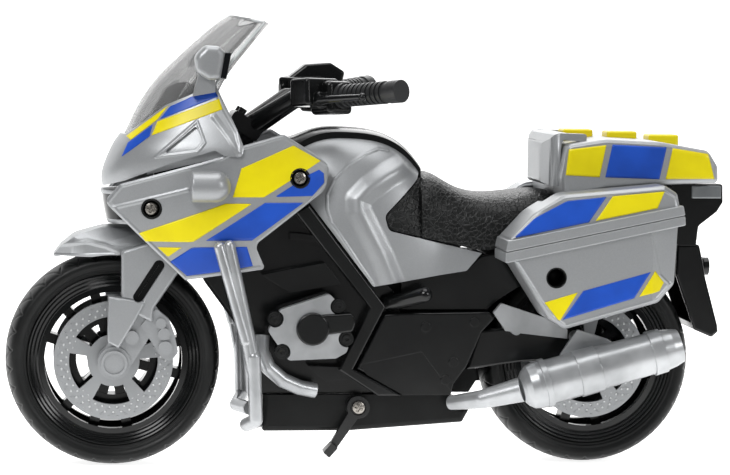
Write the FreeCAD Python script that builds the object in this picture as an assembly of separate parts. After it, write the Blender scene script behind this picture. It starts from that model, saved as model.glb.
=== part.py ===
"""Toy touring motorcycle in police trim, 1:8, a friction-drive push toy in moulded plastic.

Frame: +X towards the tail, +Y towards the bike's right side, +Z up, origin on the ground under the
middle of the overall length. The front of the bike is at -X. Millimetres.
The right-hand half is modelled and the left-hand half is its mirror, apart from the silencer, the
side stand and the left motor cover (left side only) and the gear train with its case (right only).
"""
import FreeCAD
import Part
import math
import os

V = FreeCAD.Vector

# ---------------------------------------------------------------- driving dimensions
FRONT_X = -98.0          # front axle
REAR_X = 87.6            # rear axle, which gives the 185.6 wheelbase
TYRE_R = 41.5
TYRE_HALF = 13.4         # half width of both tyres
RIM_R = 32.0             # seat of the tyre bead
DISC_R = 22.9
HALF_LENGTH = 139.5      # front tyre to mud flap, either side of the origin
RAKE = 32.5              # steering axis, degrees from vertical
HEAD = (-84.9, 73.1)     # a point on the steering axis, in x and z
SHELL = 1.6              # wall of the moulded panels
SPINE_HALF = 15.0        # half width of the chassis shell
FENDER_R = 45.0          # clearance cut round the rear wheel
MODULE = 0.7             # gear module
TEETH = {"wheel": 36, "idler": 34, "small": 12, "large": 38, "pinion": 10}
BUTTON_XS = (83.6, 101.3, 118.1)
BUTTON_TOPS = (131.6, 130.9, 129.7)
BUTTON_SIZE = (12.0, 11.0)
FIT = 0.05               # radial clearance of a shaft in its hole
GAP = 0.3                # clearance between bodies that move apart

AXLE_Z = TYRE_R
RAKE_SIN = math.sin(math.radians(RAKE))
RAKE_COS = math.cos(math.radians(RAKE))
STEER_AXIS = V(RAKE_SIN, 0, RAKE_COS)


# ---------------------------------------------------------------- helpers
def rounded_wire(points, place):
    """Closed wire through (a, b) or (a, b, radius) corners; place(a, b) gives the point in space."""
    flat = [V(p[0], p[1], 0) for p in points]
    radii = [p[2] if len(p) > 2 else 0.0 for p in points]
    starts, ends, middles = [], [], []
    count = len(points)
    for i in range(count):
        here = flat[i]
        back = (flat[i - 1] - here)
        ahead = (flat[(i + 1) % count] - here)
        if radii[i] <= 0:
            starts.append(here)
            ends.append(here)
            middles.append(None)
            continue
        half = back.getAngle(ahead) / 2
        reach = min(radii[i] / math.tan(half), 0.49 * back.Length, 0.49 * ahead.Length)
        radius = reach * math.tan(half)
        bisector = (back.normalize() + ahead.normalize()).normalize()
        starts.append(here + back * reach)
        ends.append(here + ahead * reach)
        middles.append(here + bisector * (radius / math.sin(half) - radius))
    edges = []
    for i in range(count):
        if middles[i] is not None:
            three = [place(p.x, p.y) for p in (starts[i], middles[i], ends[i])]
            edges.append(Part.Arc(*three).toShape())
        leave, arrive = ends[i], starts[(i + 1) % count]
        if (arrive - leave).Length > 1e-6:
            edges.append(Part.LineSegment(place(leave.x, leave.y), place(arrive.x, arrive.y)).toShape())
    return Part.Wire(edges)


def side_face(points, y=0.0):
    """Face in a plane of constant y, from (x, z) or (x, z, radius) corners."""
    return Part.Face(rounded_wire(points, lambda a, b: V(a, y, b)))


def side_prism(points, y0, y1):
    """Side-view outline carried from y0 to y1."""
    return side_face(points, y0).extrude(V(0, y1 - y0, 0))


def inner_room(points, wall, y0, y1):
    """Side-view outline less a wall all round, carried from y0 to y1."""
    return side_face(points, y0).makeOffset2D(-wall).extrude(V(0, y1 - y0, 0))


def plan_prism(points, z0, z1):
    """Plan-view outline of (x, y) corners carried from z0 to z1."""
    face = Part.Face(rounded_wire(points, lambda a, b: V(a, b, z0)))
    return face.extrude(V(0, 0, z1 - z0))


def box(x0, x1, y0, y1, z0, z1):
    return Part.makeBox(x1 - x0, y1 - y0, z1 - z0, V(x0, y0, z0))


def rod(start, end, radius, radius_end=None):
    """Round bar, or a cone, between two points."""
    way = end - start
    if radius_end is None or abs(radius_end - radius) < 1e-6:
        return Part.makeCylinder(radius, way.Length, start, way)
    return Part.makeCone(radius, radius_end, way.Length, start, way)


def pin_y(x, z, y0, y1, radius):
    """Round bar along Y."""
    return Part.makeCylinder(radius, y1 - y0, V(x, y0, z), V(0, 1, 0))


def tube_path(points, radius):
    """Round bar through several points, with a ball at each inner corner."""
    solid = rod(points[0], points[1], radius)
    for here, there in zip(points[1:-1], points[2:]):
        solid = solid.fuse(Part.makeSphere(radius, here)).fuse(rod(here, there, radius))
    return solid.removeSplitter()


def turned_y(profile, x, z):
    """Ring turned about an axis along Y from (y, radius[, corner radius]) points."""
    wire = rounded_wire(profile, lambda a, b: V(x, a, z + b))
    return Part.Face(wire).revolve(V(x, 0, z), V(0, 1, 0), 360)


def mirrored(shape):
    return shape.mirror(V(0, 0, 0), V(0, 1, 0))


def pair(shape):
    """The right-hand solid and its left-hand mirror, as one group."""
    return Part.makeCompound([shape, mirrored(shape)])


def joined(first, *rest):
    solid = first
    for other in rest:
        solid = solid.fuse(other)
    return solid.removeSplitter()


def minus(shape, *tools):
    for tool in tools:
        shape = shape.cut(tool)
    return shape


def biggest(shape):
    return max(shape.Solids, key=lambda s: s.Volume)


def soften(shape, radius, wanted):
    """Fillets the edges that wanted(edge) picks, one by one if they fail together."""
    edges = [e for e in shape.Edges if wanted(e)]
    try:
        return shape.makeFillet(radius, edges)
    except Exception:
        return shape


def skin_slab(half, x_range, z_range, thick, steps=9):
    """Curved plate: outside at y = half(x, z), inside thick less."""
    grid = []
    for i in range(steps):
        x = x_range[0] + (x_range[1] - x_range[0]) * i / (steps - 1)
        row = []
        for k in range(steps):
            z = z_range[0] + (z_range[1] - z_range[0]) * k / (steps - 1)
            row.append(V(x, half(x, z) - thick, z))
        grid.append(row)
    surface = Part.BSplineSurface()
    surface.interpolate(grid)
    return surface.toShape().extrude(V(0, thick, 0))


def arch_wire(x, half, low, top, power=2.6, count=13):
    """Cross-section at one x: a rounded arch of that half width between low and top, with a flat foot."""
    crown = []
    for i in range(count):
        t = math.pi * i / (count - 1)
        c, s = math.cos(t), math.sin(t)
        y = half * math.copysign(abs(c) ** (2 / power), c)
        z = low + (top - low) * abs(s) ** (2 / power)
        crown.append(V(x, y, z))
    curve = Part.BSplineCurve()
    curve.interpolate(crown)
    return Part.Wire([curve.toShape(), Part.LineSegment(crown[-1], crown[0]).toShape()])


def nose_wire(z, front, rear, half, power=2.5, count=15):
    """Plan section at one z: a blunt nose from front to rear x, closed straight across the back."""
    nose = []
    for i in range(count):
        t = math.pi * i / (count - 1)
        c, s = math.cos(t), math.sin(t)
        y = half * math.copysign(abs(c) ** (2 / power), c)
        x = rear - (rear - front) * abs(s) ** (2 / power)
        nose.append(V(x, y, z))
    curve = Part.BSplineCurve()
    curve.interpolate(nose)
    return Part.Wire([curve.toShape(), Part.LineSegment(nose[-1], nose[0]).toShape()])


def loft(wires):
    return Part.makeLoft(wires, True, False)


def steer_point(along, ahead=0.0, y=0.0):
    """Point at a distance along the steering axis, and ahead of it at right angles."""
    x = HEAD[0] + along * RAKE_SIN - ahead * RAKE_COS
    z = HEAD[1] + along * RAKE_COS + ahead * RAKE_SIN
    return V(x, y, z)


# ---------------------------------------------------------------- wheels
def tyre(x):
    """Hollow moulded tyre, open towards the rim."""
    edge = TYRE_HALF
    right = [(10.4, 32.05), (10.4, 33.4), (12.4, 34.0, 1), (edge, 37.5, 3), (9.0, 40.6, 5), (0.0, TYRE_R, 14)]
    inside = [(8.4, 32.05), (8.4, 33.6), (11.2, 36.6, 2), (7.6, 38.8, 3), (0.0, 39.4)]
    outer = right + [(-p[0],) + tuple(p[1:]) for p in reversed(right[:-1])]
    inner = [(-p[0],) + tuple(p[1:]) for p in inside] + list(reversed(inside[:-1]))
    return turned_y(outer + inner, x, AXLE_Z)


def sector(x, z, r0, r1, y0, y1, middle, spread):
    """Ring sector about an axis along Y, angles in degrees from +X towards +Z."""
    ring = minus(pin_y(x, z, y0, y1, r1), pin_y(x, z, y0 - 1, y1 + 1, r0))
    far = 2.5 * r1
    angles = [math.radians(middle + k * spread / 2) for k in (-1, 1)]
    corners = [(x, z)] + [(x + far * math.cos(a), z + far * math.sin(a)) for a in angles]
    return ring.common(side_prism(corners, y0, y1))


def rim(x):
    """Black rim: stepped barrel, hub, a ring between them and three groups of three spokes."""
    barrel = [(-12, 26.4), (-11.2, 33.1, 0.6), (-10.5, 33.1), (-10.5, 31.9), (10.5, 31.9), (10.5, 33.1),
              (11.2, 33.1, 0.6), (12, 26.4), (9.0, 26.4), (8.2, 29.4, 1), (-8.2, 29.4, 1), (-9.0, 26.4)]
    solid = turned_y(barrel, x, AXLE_Z)
    hub = pin_y(x, AXLE_Z, -11.2, 11.2, 7.5)
    ring = minus(pin_y(x, AXLE_Z, -5, 5, 19.5), pin_y(x, AXLE_Z, -6, 6, 14.2))
    solid = joined(solid, hub, ring)
    for group in (14, 134, 254):
        for offset in (-28, 0, 28):
            angle = math.radians(group + offset)
            aim = V(math.cos(angle), 0, math.sin(angle))
            side = V(-aim.z, 0, aim.x)
            start = V(x, -4.5, AXLE_Z) + aim * 6 - side * 1.9
            ends = [start, start + side * 3.8, start + side * 3.8 + aim * 24, start + aim * 24]
            spoke = Part.Face(Part.makePolygon(ends + ends[:1])).extrude(V(0, 9, 0))
            solid = solid.fuse(spoke)
    bore = pin_y(x, AXLE_Z, -20, 20, 1.55)
    return minus(solid.removeSplitter(), bore)


def brake_disc(x):
    """Silver disc with five windows and two rows of dimples round its edge."""
    inner, outer = 11.25, 13.2
    disc = pin_y(x, AXLE_Z, inner, outer, DISC_R)
    for k in range(5):
        disc = disc.cut(sector(x, AXLE_Z, 10.0, 17.0, inner - 1, outer + 1, 51 + 72 * k, 50))
    dimples = []
    for ring_r, count, shift in ((18.9, 30, 0), (21.0, 30, 6)):
        for k in range(count):
            a = math.radians(shift + 360 * k / count)
            spot = V(x + ring_r * math.cos(a), outer, AXLE_Z + ring_r * math.sin(a))
            dimples.append(Part.makeCylinder(0.42, 0.5, spot - V(0, 0.15, 0), V(0, 1, 0)))
    disc = disc.fuse(dimples)
    return minus(disc, pin_y(x, AXLE_Z, inner - 1, outer + 1, 1.55))


# ---------------------------------------------------------------- gears
def gear_phase(link_angle, first_teeth, first_phase, second_teeth):
    """Phase in degrees of a gear that meshes with the first one along link_angle."""
    turns = (link_angle - first_phase) * first_teeth / 360.0
    return link_angle + 180 - (0.5 - turns) * 360.0 / second_teeth


def gear(x, z, teeth, y0, y1, phase):
    """Spur gear with trapezoid teeth that leave some backlash."""
    pitch_r = MODULE * teeth / 2
    root_r, tip_r = pitch_r - 1.3 * MODULE, pitch_r + 0.8 * MODULE
    step = 360.0 / teeth
    corners = []
    for k in range(teeth):
        middle = phase + k * step
        for radius, share in ((root_r, -0.30), (tip_r, -0.11), (tip_r, 0.11), (root_r, 0.30)):
            a = math.radians(middle + share * step)
            corners.append((x + radius * math.cos(a), z + radius * math.sin(a)))
    return side_prism(corners, y0, y1)


def shaft_places():
    """Centres (x, z) of the gear shafts, from the rear axle forwards, and the link angles between them."""
    wheel = (REAR_X, AXLE_Z)
    links = (("idler", "wheel", "idler", 172.0), ("small", "idler", "small", 168.0),
             ("pinion", "large", "pinion", 180.0))
    places = {"wheel": wheel}
    last = wheel
    angles = {}
    for name, driver, driven, angle in links:
        reach = MODULE * (TEETH[driver] + TEETH[driven]) / 2
        last = (last[0] + reach * math.cos(math.radians(angle)),
                last[1] + reach * math.sin(math.radians(angle)))
        places[name] = last
        angles[name] = angle
    return places, angles


SHAFTS, LINKS = shaft_places()
GEAR_Y = (18.2, 20.6)        # wheel gear, idler and the small gear of the pair
FAST_Y = (21.4, 23.4)        # the large gear of the pair and the flywheel's pinion


def gear_train():
    wheel_phase = 0.0
    idler_phase = gear_phase(LINKS["idler"], TEETH["wheel"], wheel_phase, TEETH["idler"])
    small_phase = gear_phase(LINKS["small"], TEETH["idler"], idler_phase, TEETH["small"])
    pinion_phase = gear_phase(LINKS["pinion"], TEETH["large"], 0.0, TEETH["pinion"])
    wheel = gear(*SHAFTS["wheel"], TEETH["wheel"], *GEAR_Y, wheel_phase)
    wheel = joined(wheel, pin_y(*SHAFTS["wheel"], 13.6, GEAR_Y[1] + 2.4, 4.0))
    wheel = minus(wheel, pin_y(*SHAFTS["wheel"], 10, 30, 1.55))
    idler = joined(gear(*SHAFTS["idler"], TEETH["idler"], *GEAR_Y, idler_phase),
                   pin_y(*SHAFTS["idler"], 15.4, 25.2, 1.4))
    middle = joined(gear(*SHAFTS["small"], TEETH["small"], GEAR_Y[0], FAST_Y[0], small_phase),
                    gear(*SHAFTS["small"], TEETH["large"], *FAST_Y, 0.0),
                    pin_y(*SHAFTS["small"], 15.4, 25.2, 1.4))
    flywheel = joined(gear(*SHAFTS["pinion"], TEETH["pinion"], *FAST_Y, pinion_phase),
                      pin_y(*SHAFTS["pinion"], -14.4, 25.2, 1.4),
                      soften(pin_y(*SHAFTS["pinion"], -6.5, 6.5, 10.0), 0.8, lambda e: e.Closed))
    return {"rear_gear": wheel, "idler_gear": idler, "reduction_gear": middle, "flywheel": flywheel}


CASE_OUTLINE = [(19, 62, 6), (22, 34, 8), (46, 29.5, 10), (66, 30.0, 12), (87.6, 24.5, 6), (99.6, 29.5, 8),
                (104.6, 41.5, 8),
                (99.6, 53.5, 8), (87.6, 58.5, 6), (66, 62, 12), (46, 66.5, 12)]


def shaft_holes(y0, y1):
    return [pin_y(*SHAFTS[n], y0, y1, 1.4 + FIT) for n in ("idler", "small", "pinion")]


def gear_case():
    """Right-hand swing arm: an inner plate on the chassis and a deep screwed cover."""
    inner = side_prism(CASE_OUTLINE, 15.0, 17.1)
    inner = minus(inner, *shaft_holes(14, 18), pin_y(*SHAFTS["wheel"], 14, 18, 4.0 + FIT))
    solid = soften(side_prism(CASE_OUTLINE, 17.15, 26.6), 1.6, lambda e: abs(e.CenterOfMass.y - 26.6) < 1e-3)
    room = inner_room(CASE_OUTLINE, 1.6, 17.0, 24.3)
    cover = minus(solid, room)
    posts = [pin_y(x, z, 17.15, 24.6, 2.3) for x, z in CASE_SCREWS]
    cover = joined(cover, *posts)
    cover = minus(cover, *shaft_holes(20, 25.4), pin_y(*SHAFTS["wheel"], 20, 25.8, 1.5 + FIT))
    cover = minus(cover, *[pin_y(x, z, 24.55, 27, 2.5) for x, z in CASE_SCREWS],
                  *[pin_y(x, z, 17, 25, 1.15) for x, z in CASE_SCREWS])
    return inner, cover


CASE_SCREWS = ((23.6, 57.5), (25.5, 38.2), (72.0, 32.6), (73.5, 56.8))


# ---------------------------------------------------------------- front end, which steers
def fork_leg():
    """Silver fork leg with its cover, slot, brake caliper and axle boss."""
    leg_side = V(RAKE_COS, 0, -RAKE_SIN)
    hub = V(FRONT_X, 0, AXLE_Z)
    foot = [hub - leg_side * 6.0, hub + leg_side * 6.0]
    top = [foot[1] + STEER_AXIS * 25, foot[0] + STEER_AXIS * 30]
    bar = side_prism([(p.x, p.z) for p in foot + top], 17.0, 21.6)
    boss = pin_y(FRONT_X, AXLE_Z, 15.4, 22.6, 6.3)
    cover_outline = [(-95.4, 84.5, 2), (-95.4, 66.4, 1), (-87.4, 65.2), (-90.4, 60.6), (-83.6, 57.4),
                     (-83.2, 62.4),
                     (-73.6, 76.6), (-67.0, 87.2, 2), (-74.0, 91.0, 2)]
    cover = side_prism(cover_outline, 16.4, 24.2)
    cover = soften(cover, 1.2, lambda e: abs(e.CenterOfMass.y - 24.2) < 1e-3)
    caliper = side_prism([(-100.4, 67.4), (-86.2, 65.4, 1), (-90.6, 57.2), (-96.4, 47.6), (-100.6, 49.8, 1)],
                         17.0, 25.4)
    caliper = soften(caliper, 0.9, lambda e: abs(e.CenterOfMass.y - 25.4) < 1e-3)
    pads = [(-82.2, 62.6, 1), (-77.2, 58.4, 2), (-75.2, 53.0, 2), (-73.6, 45.6, 2), (-76.7, 42.0, 2),
            (-80.0, 43.8, 2), (-88.0, 56.0)]
    rear_caliper = side_prism(pads, 17.0, 22.4)
    bosses = [pin_y(x, z, 22.0, 24.0, r) for x, z, r in
              ((-80.3, 56.9, 2.0), (-79.1, 52.8, 2.3), (-78.6, 47.4, 2.7), (-91.4, 51.5, 2.6))]
    cap = minus(pin_y(FRONT_X, AXLE_Z, 22.0, 24.2, 5.0), pin_y(FRONT_X, AXLE_Z, 23.4, 25, 4.0))
    leg = joined(bar, boss, cover, caliper, rear_caliper, cap, *bosses)
    slot_ends = [V(-88.9, 0, 67.1), V(-81.2, 0, 79.1)]
    slot = joined(pin_y(slot_ends[0].x, slot_ends[0].z, 21.4, 26, 2.1), pin_y(slot_ends[1].x, slot_ends[1].z,
                                                                              21.4, 26, 2.1),
                  side_prism([(p.x + s * 1.77, p.z - s * 1.13) for p, s in
                              ((slot_ends[0], -1), (slot_ends[0], 1), (slot_ends[1], 1),
                               (slot_ends[1], -1))], 21.4, 26))
    axle_seat = pin_y(FRONT_X, AXLE_Z, 10, 21.2, 1.5 + FIT)
    return minus(leg, slot, axle_seat)


def fork_bridge():
    """Black lower yoke between the legs, with the steering stem up to the handlebar."""
    yoke_outline = [steer_point(s, a) for s, a in ((13, 6.5), (20, 6.5), (20, -6), (13, -6))]
    yoke = side_prism([(p.x, p.z, 1) for p in yoke_outline], -16.4, 16.4)
    stem = rod(steer_point(18), steer_point(56), 3.0)
    collar = rod(steer_point(18), steer_point(26), 6.0)
    return joined(yoke, stem, collar)


def mudguard():
    """Silver front mudguard: a pointed arch over the tyre."""
    outline = [(-122.0, 80.6, 1), (-118.2, 85.4, 4), (-112.6, 89.6, 12), (-100.8, 93.2, 10),
               (-90.0, 93.6, 3), (-84.4, 88.2, 1),
               (-88.0, 81.5, 1), (-118.0, 81.6, 1)]
    plan = [(-122.4, -5, 3), (-112, -13.5, 12), (-96, -16.2, 6), (-78, -16.2), (-78, 16.2), (-96, 16.2, 6),
            (-112, 13.5, 12), (-122.4, 5, 3)]
    inside = plan_prism([(-119.6, -4, 2), (-111, -11.9, 12), (-96, -14.5, 6), (-70, -14.5), (-70, 14.5),
                         (-96, 14.5, 6),
                         (-111, 11.9, 12), (-119.6, 4, 2)], 60, 100)
    crown = [(-16.4, 70), (16.4, 70), (16.4, 85.5, 4), (8.5, 92.4, 9), (0, 93.8, 9), (-8.5, 92.4, 9),
             (-16.4, 85.5, 4)]
    arch = Part.Face(rounded_wire(crown, lambda a, b: V(-125, a, b))).extrude(V(60, 0, 0))
    solid = side_prism(outline, -18, 18).common(plan_prism(plan, 70, 100)).common(arch)
    wheel_room = pin_y(FRONT_X, AXLE_Z, -19, 19, TYRE_R + 4.0).common(inside).common(box(-125, -70, -19, 19,
                                                                                         60, 91.6))
    edge_room = pin_y(FRONT_X, AXLE_Z, -19, 19, TYRE_R - 0.6)
    solid = minus(solid, wheel_room, edge_room)
    stem_room = rod(steer_point(6), steer_point(40), 6.6)
    yoke_room = side_prism([(p.x, p.z) for p in
                            [steer_point(s, a) for s, a in ((12.9, 6.6), (40, 6.6), (40, -20),
                                                            (12.9, -20))]], -20, 20)
    return minus(solid, stem_room, yoke_room)


# Handlebar: the grip's inner and outer ends on the right-hand side.
GRIP_IN = V(-12.6, 27.0, 144.2)
GRIP_OUT = V(7.2, 52.0, 146.8)
GRIP_R = 4.3


def handlebar():
    """Black handlebar: clamp, swept bars, switch housings, lever perches and a fluid pot on the right."""
    clamp = rod(steer_point(52.5), steer_point(70), 6.2)
    head = side_prism([(p.x, p.z, 1.5) for p in
                       [steer_point(s, a) for s, a in ((66.5, 6.8), (73, 6.8), (73, -6.5),
                                                       (66.5, -6.5))]], -11, 11)
    plate = side_prism([(p.x, p.z, 1) for p in
                        [steer_point(s, a) for s, a in ((56, 7), (67, 6), (67, -6), (56, -6.5))]], -6, 6)
    bolts = [rod(steer_point(72.5, a, y), steer_point(75, a, y), 1.5) for a in (-4, 4.2) for y in (-8, 8)]
    solid = joined(clamp, head, plate, *bolts)
    solid = minus(solid, rod(steer_point(50), steer_point(56), 3.0))
    aim = (GRIP_OUT - GRIP_IN).normalize()
    arm_start = steer_point(70.5, -2, 6)
    arm_end = V(-29.5, 17.0, 142.6)
    turn_in = GRIP_IN - aim * 10
    arm = joined(rod(arm_start, arm_end, 4.4, 3.6), Part.makeSphere(3.6, arm_end), rod(arm_end, turn_in, 3.6,
                                                                                       3.2),
                 Part.makeSphere(3.2, turn_in), rod(turn_in, GRIP_OUT - aim * 3, 2.2))
    spin = FreeCAD.Rotation(V(0, 1, 0), aim)
    housing = box(-6.4, 6.0, -11.0, 0.5, -6.8, 5.8)
    housing = soften(housing, 1.8, lambda e: True)
    housing.Placement = FreeCAD.Placement(GRIP_IN, spin)
    tank = box(-14.4, 2.6, -13.6, -3.4, -3.6, 7.0)
    tank = soften(tank, 1.4, lambda e: True)
    tank.Placement = FreeCAD.Placement(GRIP_IN, spin)
    perch = box(-11.0, -3.0, -6.5, -1.0, -4.8, 1.6)
    perch = soften(perch, 1.0, lambda e: True)
    perch.Placement = FreeCAD.Placement(GRIP_IN, spin)
    half = joined(arm, housing, tank, perch)
    pot = side_prism([(-31.4, 144.0), (-31.4, 147.4), (-28.6, 150.0), (-21.3, 155.6, 1.5),
                      (-11.4, 156.4, 1.5),
                      (-5.6, 152.8, 1.5), (-6.4, 149.0), (-14.0, 145.0)], 23.0, 35.0)
    pot = soften(pot, 1.2, lambda e: abs(e.CenterOfMass.y - 29.0) > 5.9)
    pot = minus(pot, rod(GRIP_IN + aim * 0.2, GRIP_OUT, GRIP_R + 0.8))
    return joined(solid, half, mirrored(half), pot)


def grip():
    """Ribbed black grip with a flat end, over the bar."""
    aim = (GRIP_OUT - GRIP_IN).normalize()
    start = GRIP_IN + aim * 0.6
    solid = rod(start, GRIP_OUT, GRIP_R - 0.5)
    pitch = 2.4
    length = (GRIP_OUT - start).Length
    collars = [rod(start, start + aim * 1.6, GRIP_R + 0.5), rod(GRIP_OUT - aim * 5.2, GRIP_OUT, GRIP_R)]
    for k in range(int((length - 7.5) / pitch)):
        here = start + aim * (2.6 + k * pitch)
        collars.append(rod(here, here + aim * 1.4, GRIP_R))
    solid = joined(solid, *collars)
    return minus(solid, rod(start - aim * 2, GRIP_OUT - aim * 3, 2.2))


def lever():
    """Short hand lever in front of the grip."""
    aim = (GRIP_OUT - GRIP_IN).normalize()
    side = V(0, 0, 1).cross(aim).normalize()
    root = GRIP_IN - aim * 3.6 + side * 9.4 - V(0, 0, 1.4)
    knee = root + aim * 8 + side * 0.6
    tip = root + aim * 23 - side * 1.4
    return joined(rod(root, knee, 2.2, 1.5), Part.makeSphere(1.5, knee), rod(knee, tip, 1.5, 1.1),
                  Part.makeSphere(1.5, tip))


# ---------------------------------------------------------------- chassis
BELLY_TOP = 29.0


def spine_outline():
    """Side outline of the chassis halves, from the belly round the tail and back to the head tube."""
    head = [steer_point(s, a) for s, a in ((50, -12.6), (50, 5.6), (30, 5.6), (30, -12.6))]
    body = [(-41, BELLY_TOP), (40, BELLY_TOP), (60, 60), (90, 84), (117, 90, 3), (119, 102.4), (78, 95.2, 4),
            (46, 83.0, 6),
            (24, 84.5, 8), (8, 100, 12), (-4, 117, 8)]
    return body + [(p.x, p.z) for p in head] + [(-64.0, 73.0, 3), (-44.5, 46.5, 3)]


def chassis_half():
    outline = side_face(spine_outline(), 0.0)
    solid = outline.extrude(V(0, SPINE_HALF, 0))
    room = outline.makeOffset2D(-2.0).extrude(V(0, SPINE_HALF - 2.0, 0))
    wheel_cut = pin_y(REAR_X, AXLE_Z, -20, 20, FENDER_R)
    fender = minus(pin_y(REAR_X, AXLE_Z, 0, SPINE_HALF, FENDER_R + 2.0), wheel_cut).common(solid)
    head_tube = rod(steer_point(30), steer_point(50), 5.6).common(box(-90, 0, 0, 20, 60, 140))
    ribs = [box(x, x + 2, 0, SPINE_HALF, 30, 120).common(solid) for x in (-34, 2)]
    shell = joined(minus(solid, room), fender, head_tube, *ribs)
    stem_hole = rod(steer_point(25), steer_point(55), 3.0 + FIT)
    return minus(shell, wheel_cut, stem_hole)


STRUT_OUTER = [(-24.4, 102.6), (5.6, 63.6), (-6.6, 39.6), (12.4, 29.1)]
STRUT_INNER = [(3.0, 29.1), (-12.2, 39.2), (-0.6, 63.2), (-29.4, 99.6)]
LEFT_CASE = [(5.4, 60.4), (14.8, 61.0), (46.2, 61.4, 1), (48.6, 59.2, 1), (43.4, 53.6), (37.6, 40.1),
             (32.7, 33.5), (31.6, 29.1),
             (12.9, 29.1), (-5.4, 39.4)]
LEFT_CASE_SCREWS = ((21.5, 55.6), (40.5, 57.5), (32.5, 42.0), (29.5, 35.1))


def side_frame():
    """Black engine surround: backing plate, diagonal strut and a curved rib behind the fairing."""
    plate = side_prism([(-63.5, 74.0, 2), (-54.1, 61.4), (-43.0, 47.4), (-41.0, 29.2), (12.0, 29.2),
                        (12.0, 66.0), (4.0, 75.0),
                        (-3.0, 100.0), (-28.0, 101.0), (-56.0, 92.0, 3)], SPINE_HALF + 0.05, 18.0)
    strut = side_prism(STRUT_OUTER + STRUT_INNER, 17.9, 26.4)
    strut = soften(strut, 0.7, lambda e: abs(e.CenterOfMass.y - 26.4) < 1e-3)
    rib = sector(-31.0, 47.0, 42.0, 44.5, 17.9, 21.0, 62, 56)
    ledge = side_prism([(-41.9, 75.6), (-17.8, 80.2), (-11.1, 72.0), (-31.1, 68.6)], 17.9, 24.0)
    sill = side_prism([(-24.0, 40.6), (-8.5, 40.0), (-8.5, 35.4), (-17.0, 34.4)], 17.9, 24.4)
    return joined(plate, strut, rib, ledge, sill)


def left_motor_cover():
    """Black cover of the motor bay on the left, mirrored into place later, with the left swing arm."""
    cover = side_prism(LEFT_CASE, SPINE_HALF + 0.05, 25.0)
    cover = soften(cover, 0.8, lambda e: abs(e.CenterOfMass.y - 25.0) < 1e-3)
    facet = side_prism([(5.0, 28.9), (33, 28.9), (20, 46.0), (-4, 41)], 24.4, 26)
    cover = minus(cover, facet)
    domes = [pin_y(x, z, 24.2, 25.5, 1.9) for x, z in LEFT_CASE_SCREWS]
    arm_outline = [(38.0, 38.5), (59.0, 41.4, 10), (70.0, 42.0, 8), (80.6, 34.4, 7), (87.6, 32.4, 9),
                   (96.6, 41.5, 9),
                   (87.6, 50.6, 9), (80.0, 54.2, 6), (60.0, 55.8, 8), (43.0, 54.0)]
    arm = side_prism(arm_outline, 16.8, 21.4)
    arm = soften(arm, 1.2, lambda e: abs(e.CenterOfMass.y - 21.4) < 1e-3)
    boss = pin_y(REAR_X, AXLE_Z, 14.2, 22.4, 5.6)
    solid = joined(cover, arm, boss, *domes)
    return minus(solid, pin_y(REAR_X, AXLE_Z, 10, 21.2, 1.5 + FIT))


BELLY_OUTLINE = [(-41.0, 14.8, 1), (-7.0, 14.8, 20), (36.9, 17.9, 1), (39.9, 23.4, 1), (32.6, 24.6),
                 (31.6, BELLY_TOP),
                 (-41.0, BELLY_TOP)]
STAND_X, STAND_Z = -4.4, 24.6


def belly_pan():
    """Black trough under the engine: battery bay, speaker seat and the side stand's boss."""
    solid = side_prism(BELLY_OUTLINE, -21.0, 21.0)
    solid = soften(solid, 2.0, lambda e: abs(abs(e.CenterOfMass.y) - 21.0) < 1e-3 and e.CenterOfMass.z < 19)
    room = box(-39.0, 29.6, -19.0, 19.0, 16.8, 30.0)
    tail_room = box(29.0, 36.5, -19.0, 19.0, 19.6, 23.0)
    pan = minus(solid, room, tail_room)
    boss = pin_y(STAND_X, STAND_Z, -23.0, -18.0, 4.6)
    screw_hole = pin_y(STAND_X, STAND_Z, -24.0, -17.0, 1.15)
    hatch = box(-37.4, 0.4, -9.4, 9.4, 14.0, 18.0)
    holes = [Part.makeCylinder(0.8, 6, V(16 + 3.2 * i, 3.2 * k, 13.5)) for i in (-1, 0, 1) for k in (-1, 0,
                                                                                                     1)]
    pan = minus(joined(pan, boss), screw_hole, hatch, *holes)
    return pan


def battery_parts():
    """Battery box, its cover in the belly and three button cells."""
    box_shape = minus(box(-38.2, 1.2, -10.4, 10.4, 16.7, 25.4), box(-36.6, -0.4, -8.8, 8.8, 15.0, 23.8))
    cover = box(-37.1, 0.1, -9.1, 9.1, 15.0, 16.7)
    cover = minus(cover, Part.makeCylinder(1.1, 4, V(-18.5, 7.0, 14)))
    cells = Part.makeCompound([Part.makeCylinder(5.8, 5.4, V(x, -1.5, 17.4)) for x in (-30.4, -18.4, -6.4)])
    return box_shape, cover, cells


def side_stand():
    """Black side stand: an eye on the screw, a tapered leg and a square foot."""
    tip = V(-15.1, -27.0, 8.0)
    eye = pin_y(STAND_X, STAND_Z, -25.6, -23.3, 4.4)
    leg_way = (tip - V(STAND_X, -25.0, STAND_Z))
    across = V(leg_way.z, 0, -leg_way.x).normalize()
    start = V(STAND_X, -25.6, STAND_Z)
    corners = [start + across * 2.3, start - across * 2.3, tip - across * 1.5, tip + across * 1.5]
    leg = side_prism([(p.x, p.z) for p in corners], -25.6, -23.3)
    foot_mid = V(tip.x, -25.4, tip.z)
    foot = side_prism([(foot_mid.x + dx, foot_mid.z + dz, 0.5) for dx, dz in
                       ((-3.2, -0.2), (0.2, 3.4), (2.6, 1.6), (-0.8, -2.2))], -29.6, -23.3)
    solid = joined(eye, leg, foot)
    return minus(solid, pin_y(STAND_X, STAND_Z, -30, -20, 1.1 + FIT), pin_y(STAND_X, STAND_Z, -27, -24.9,
                                                                            3.0))


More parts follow.
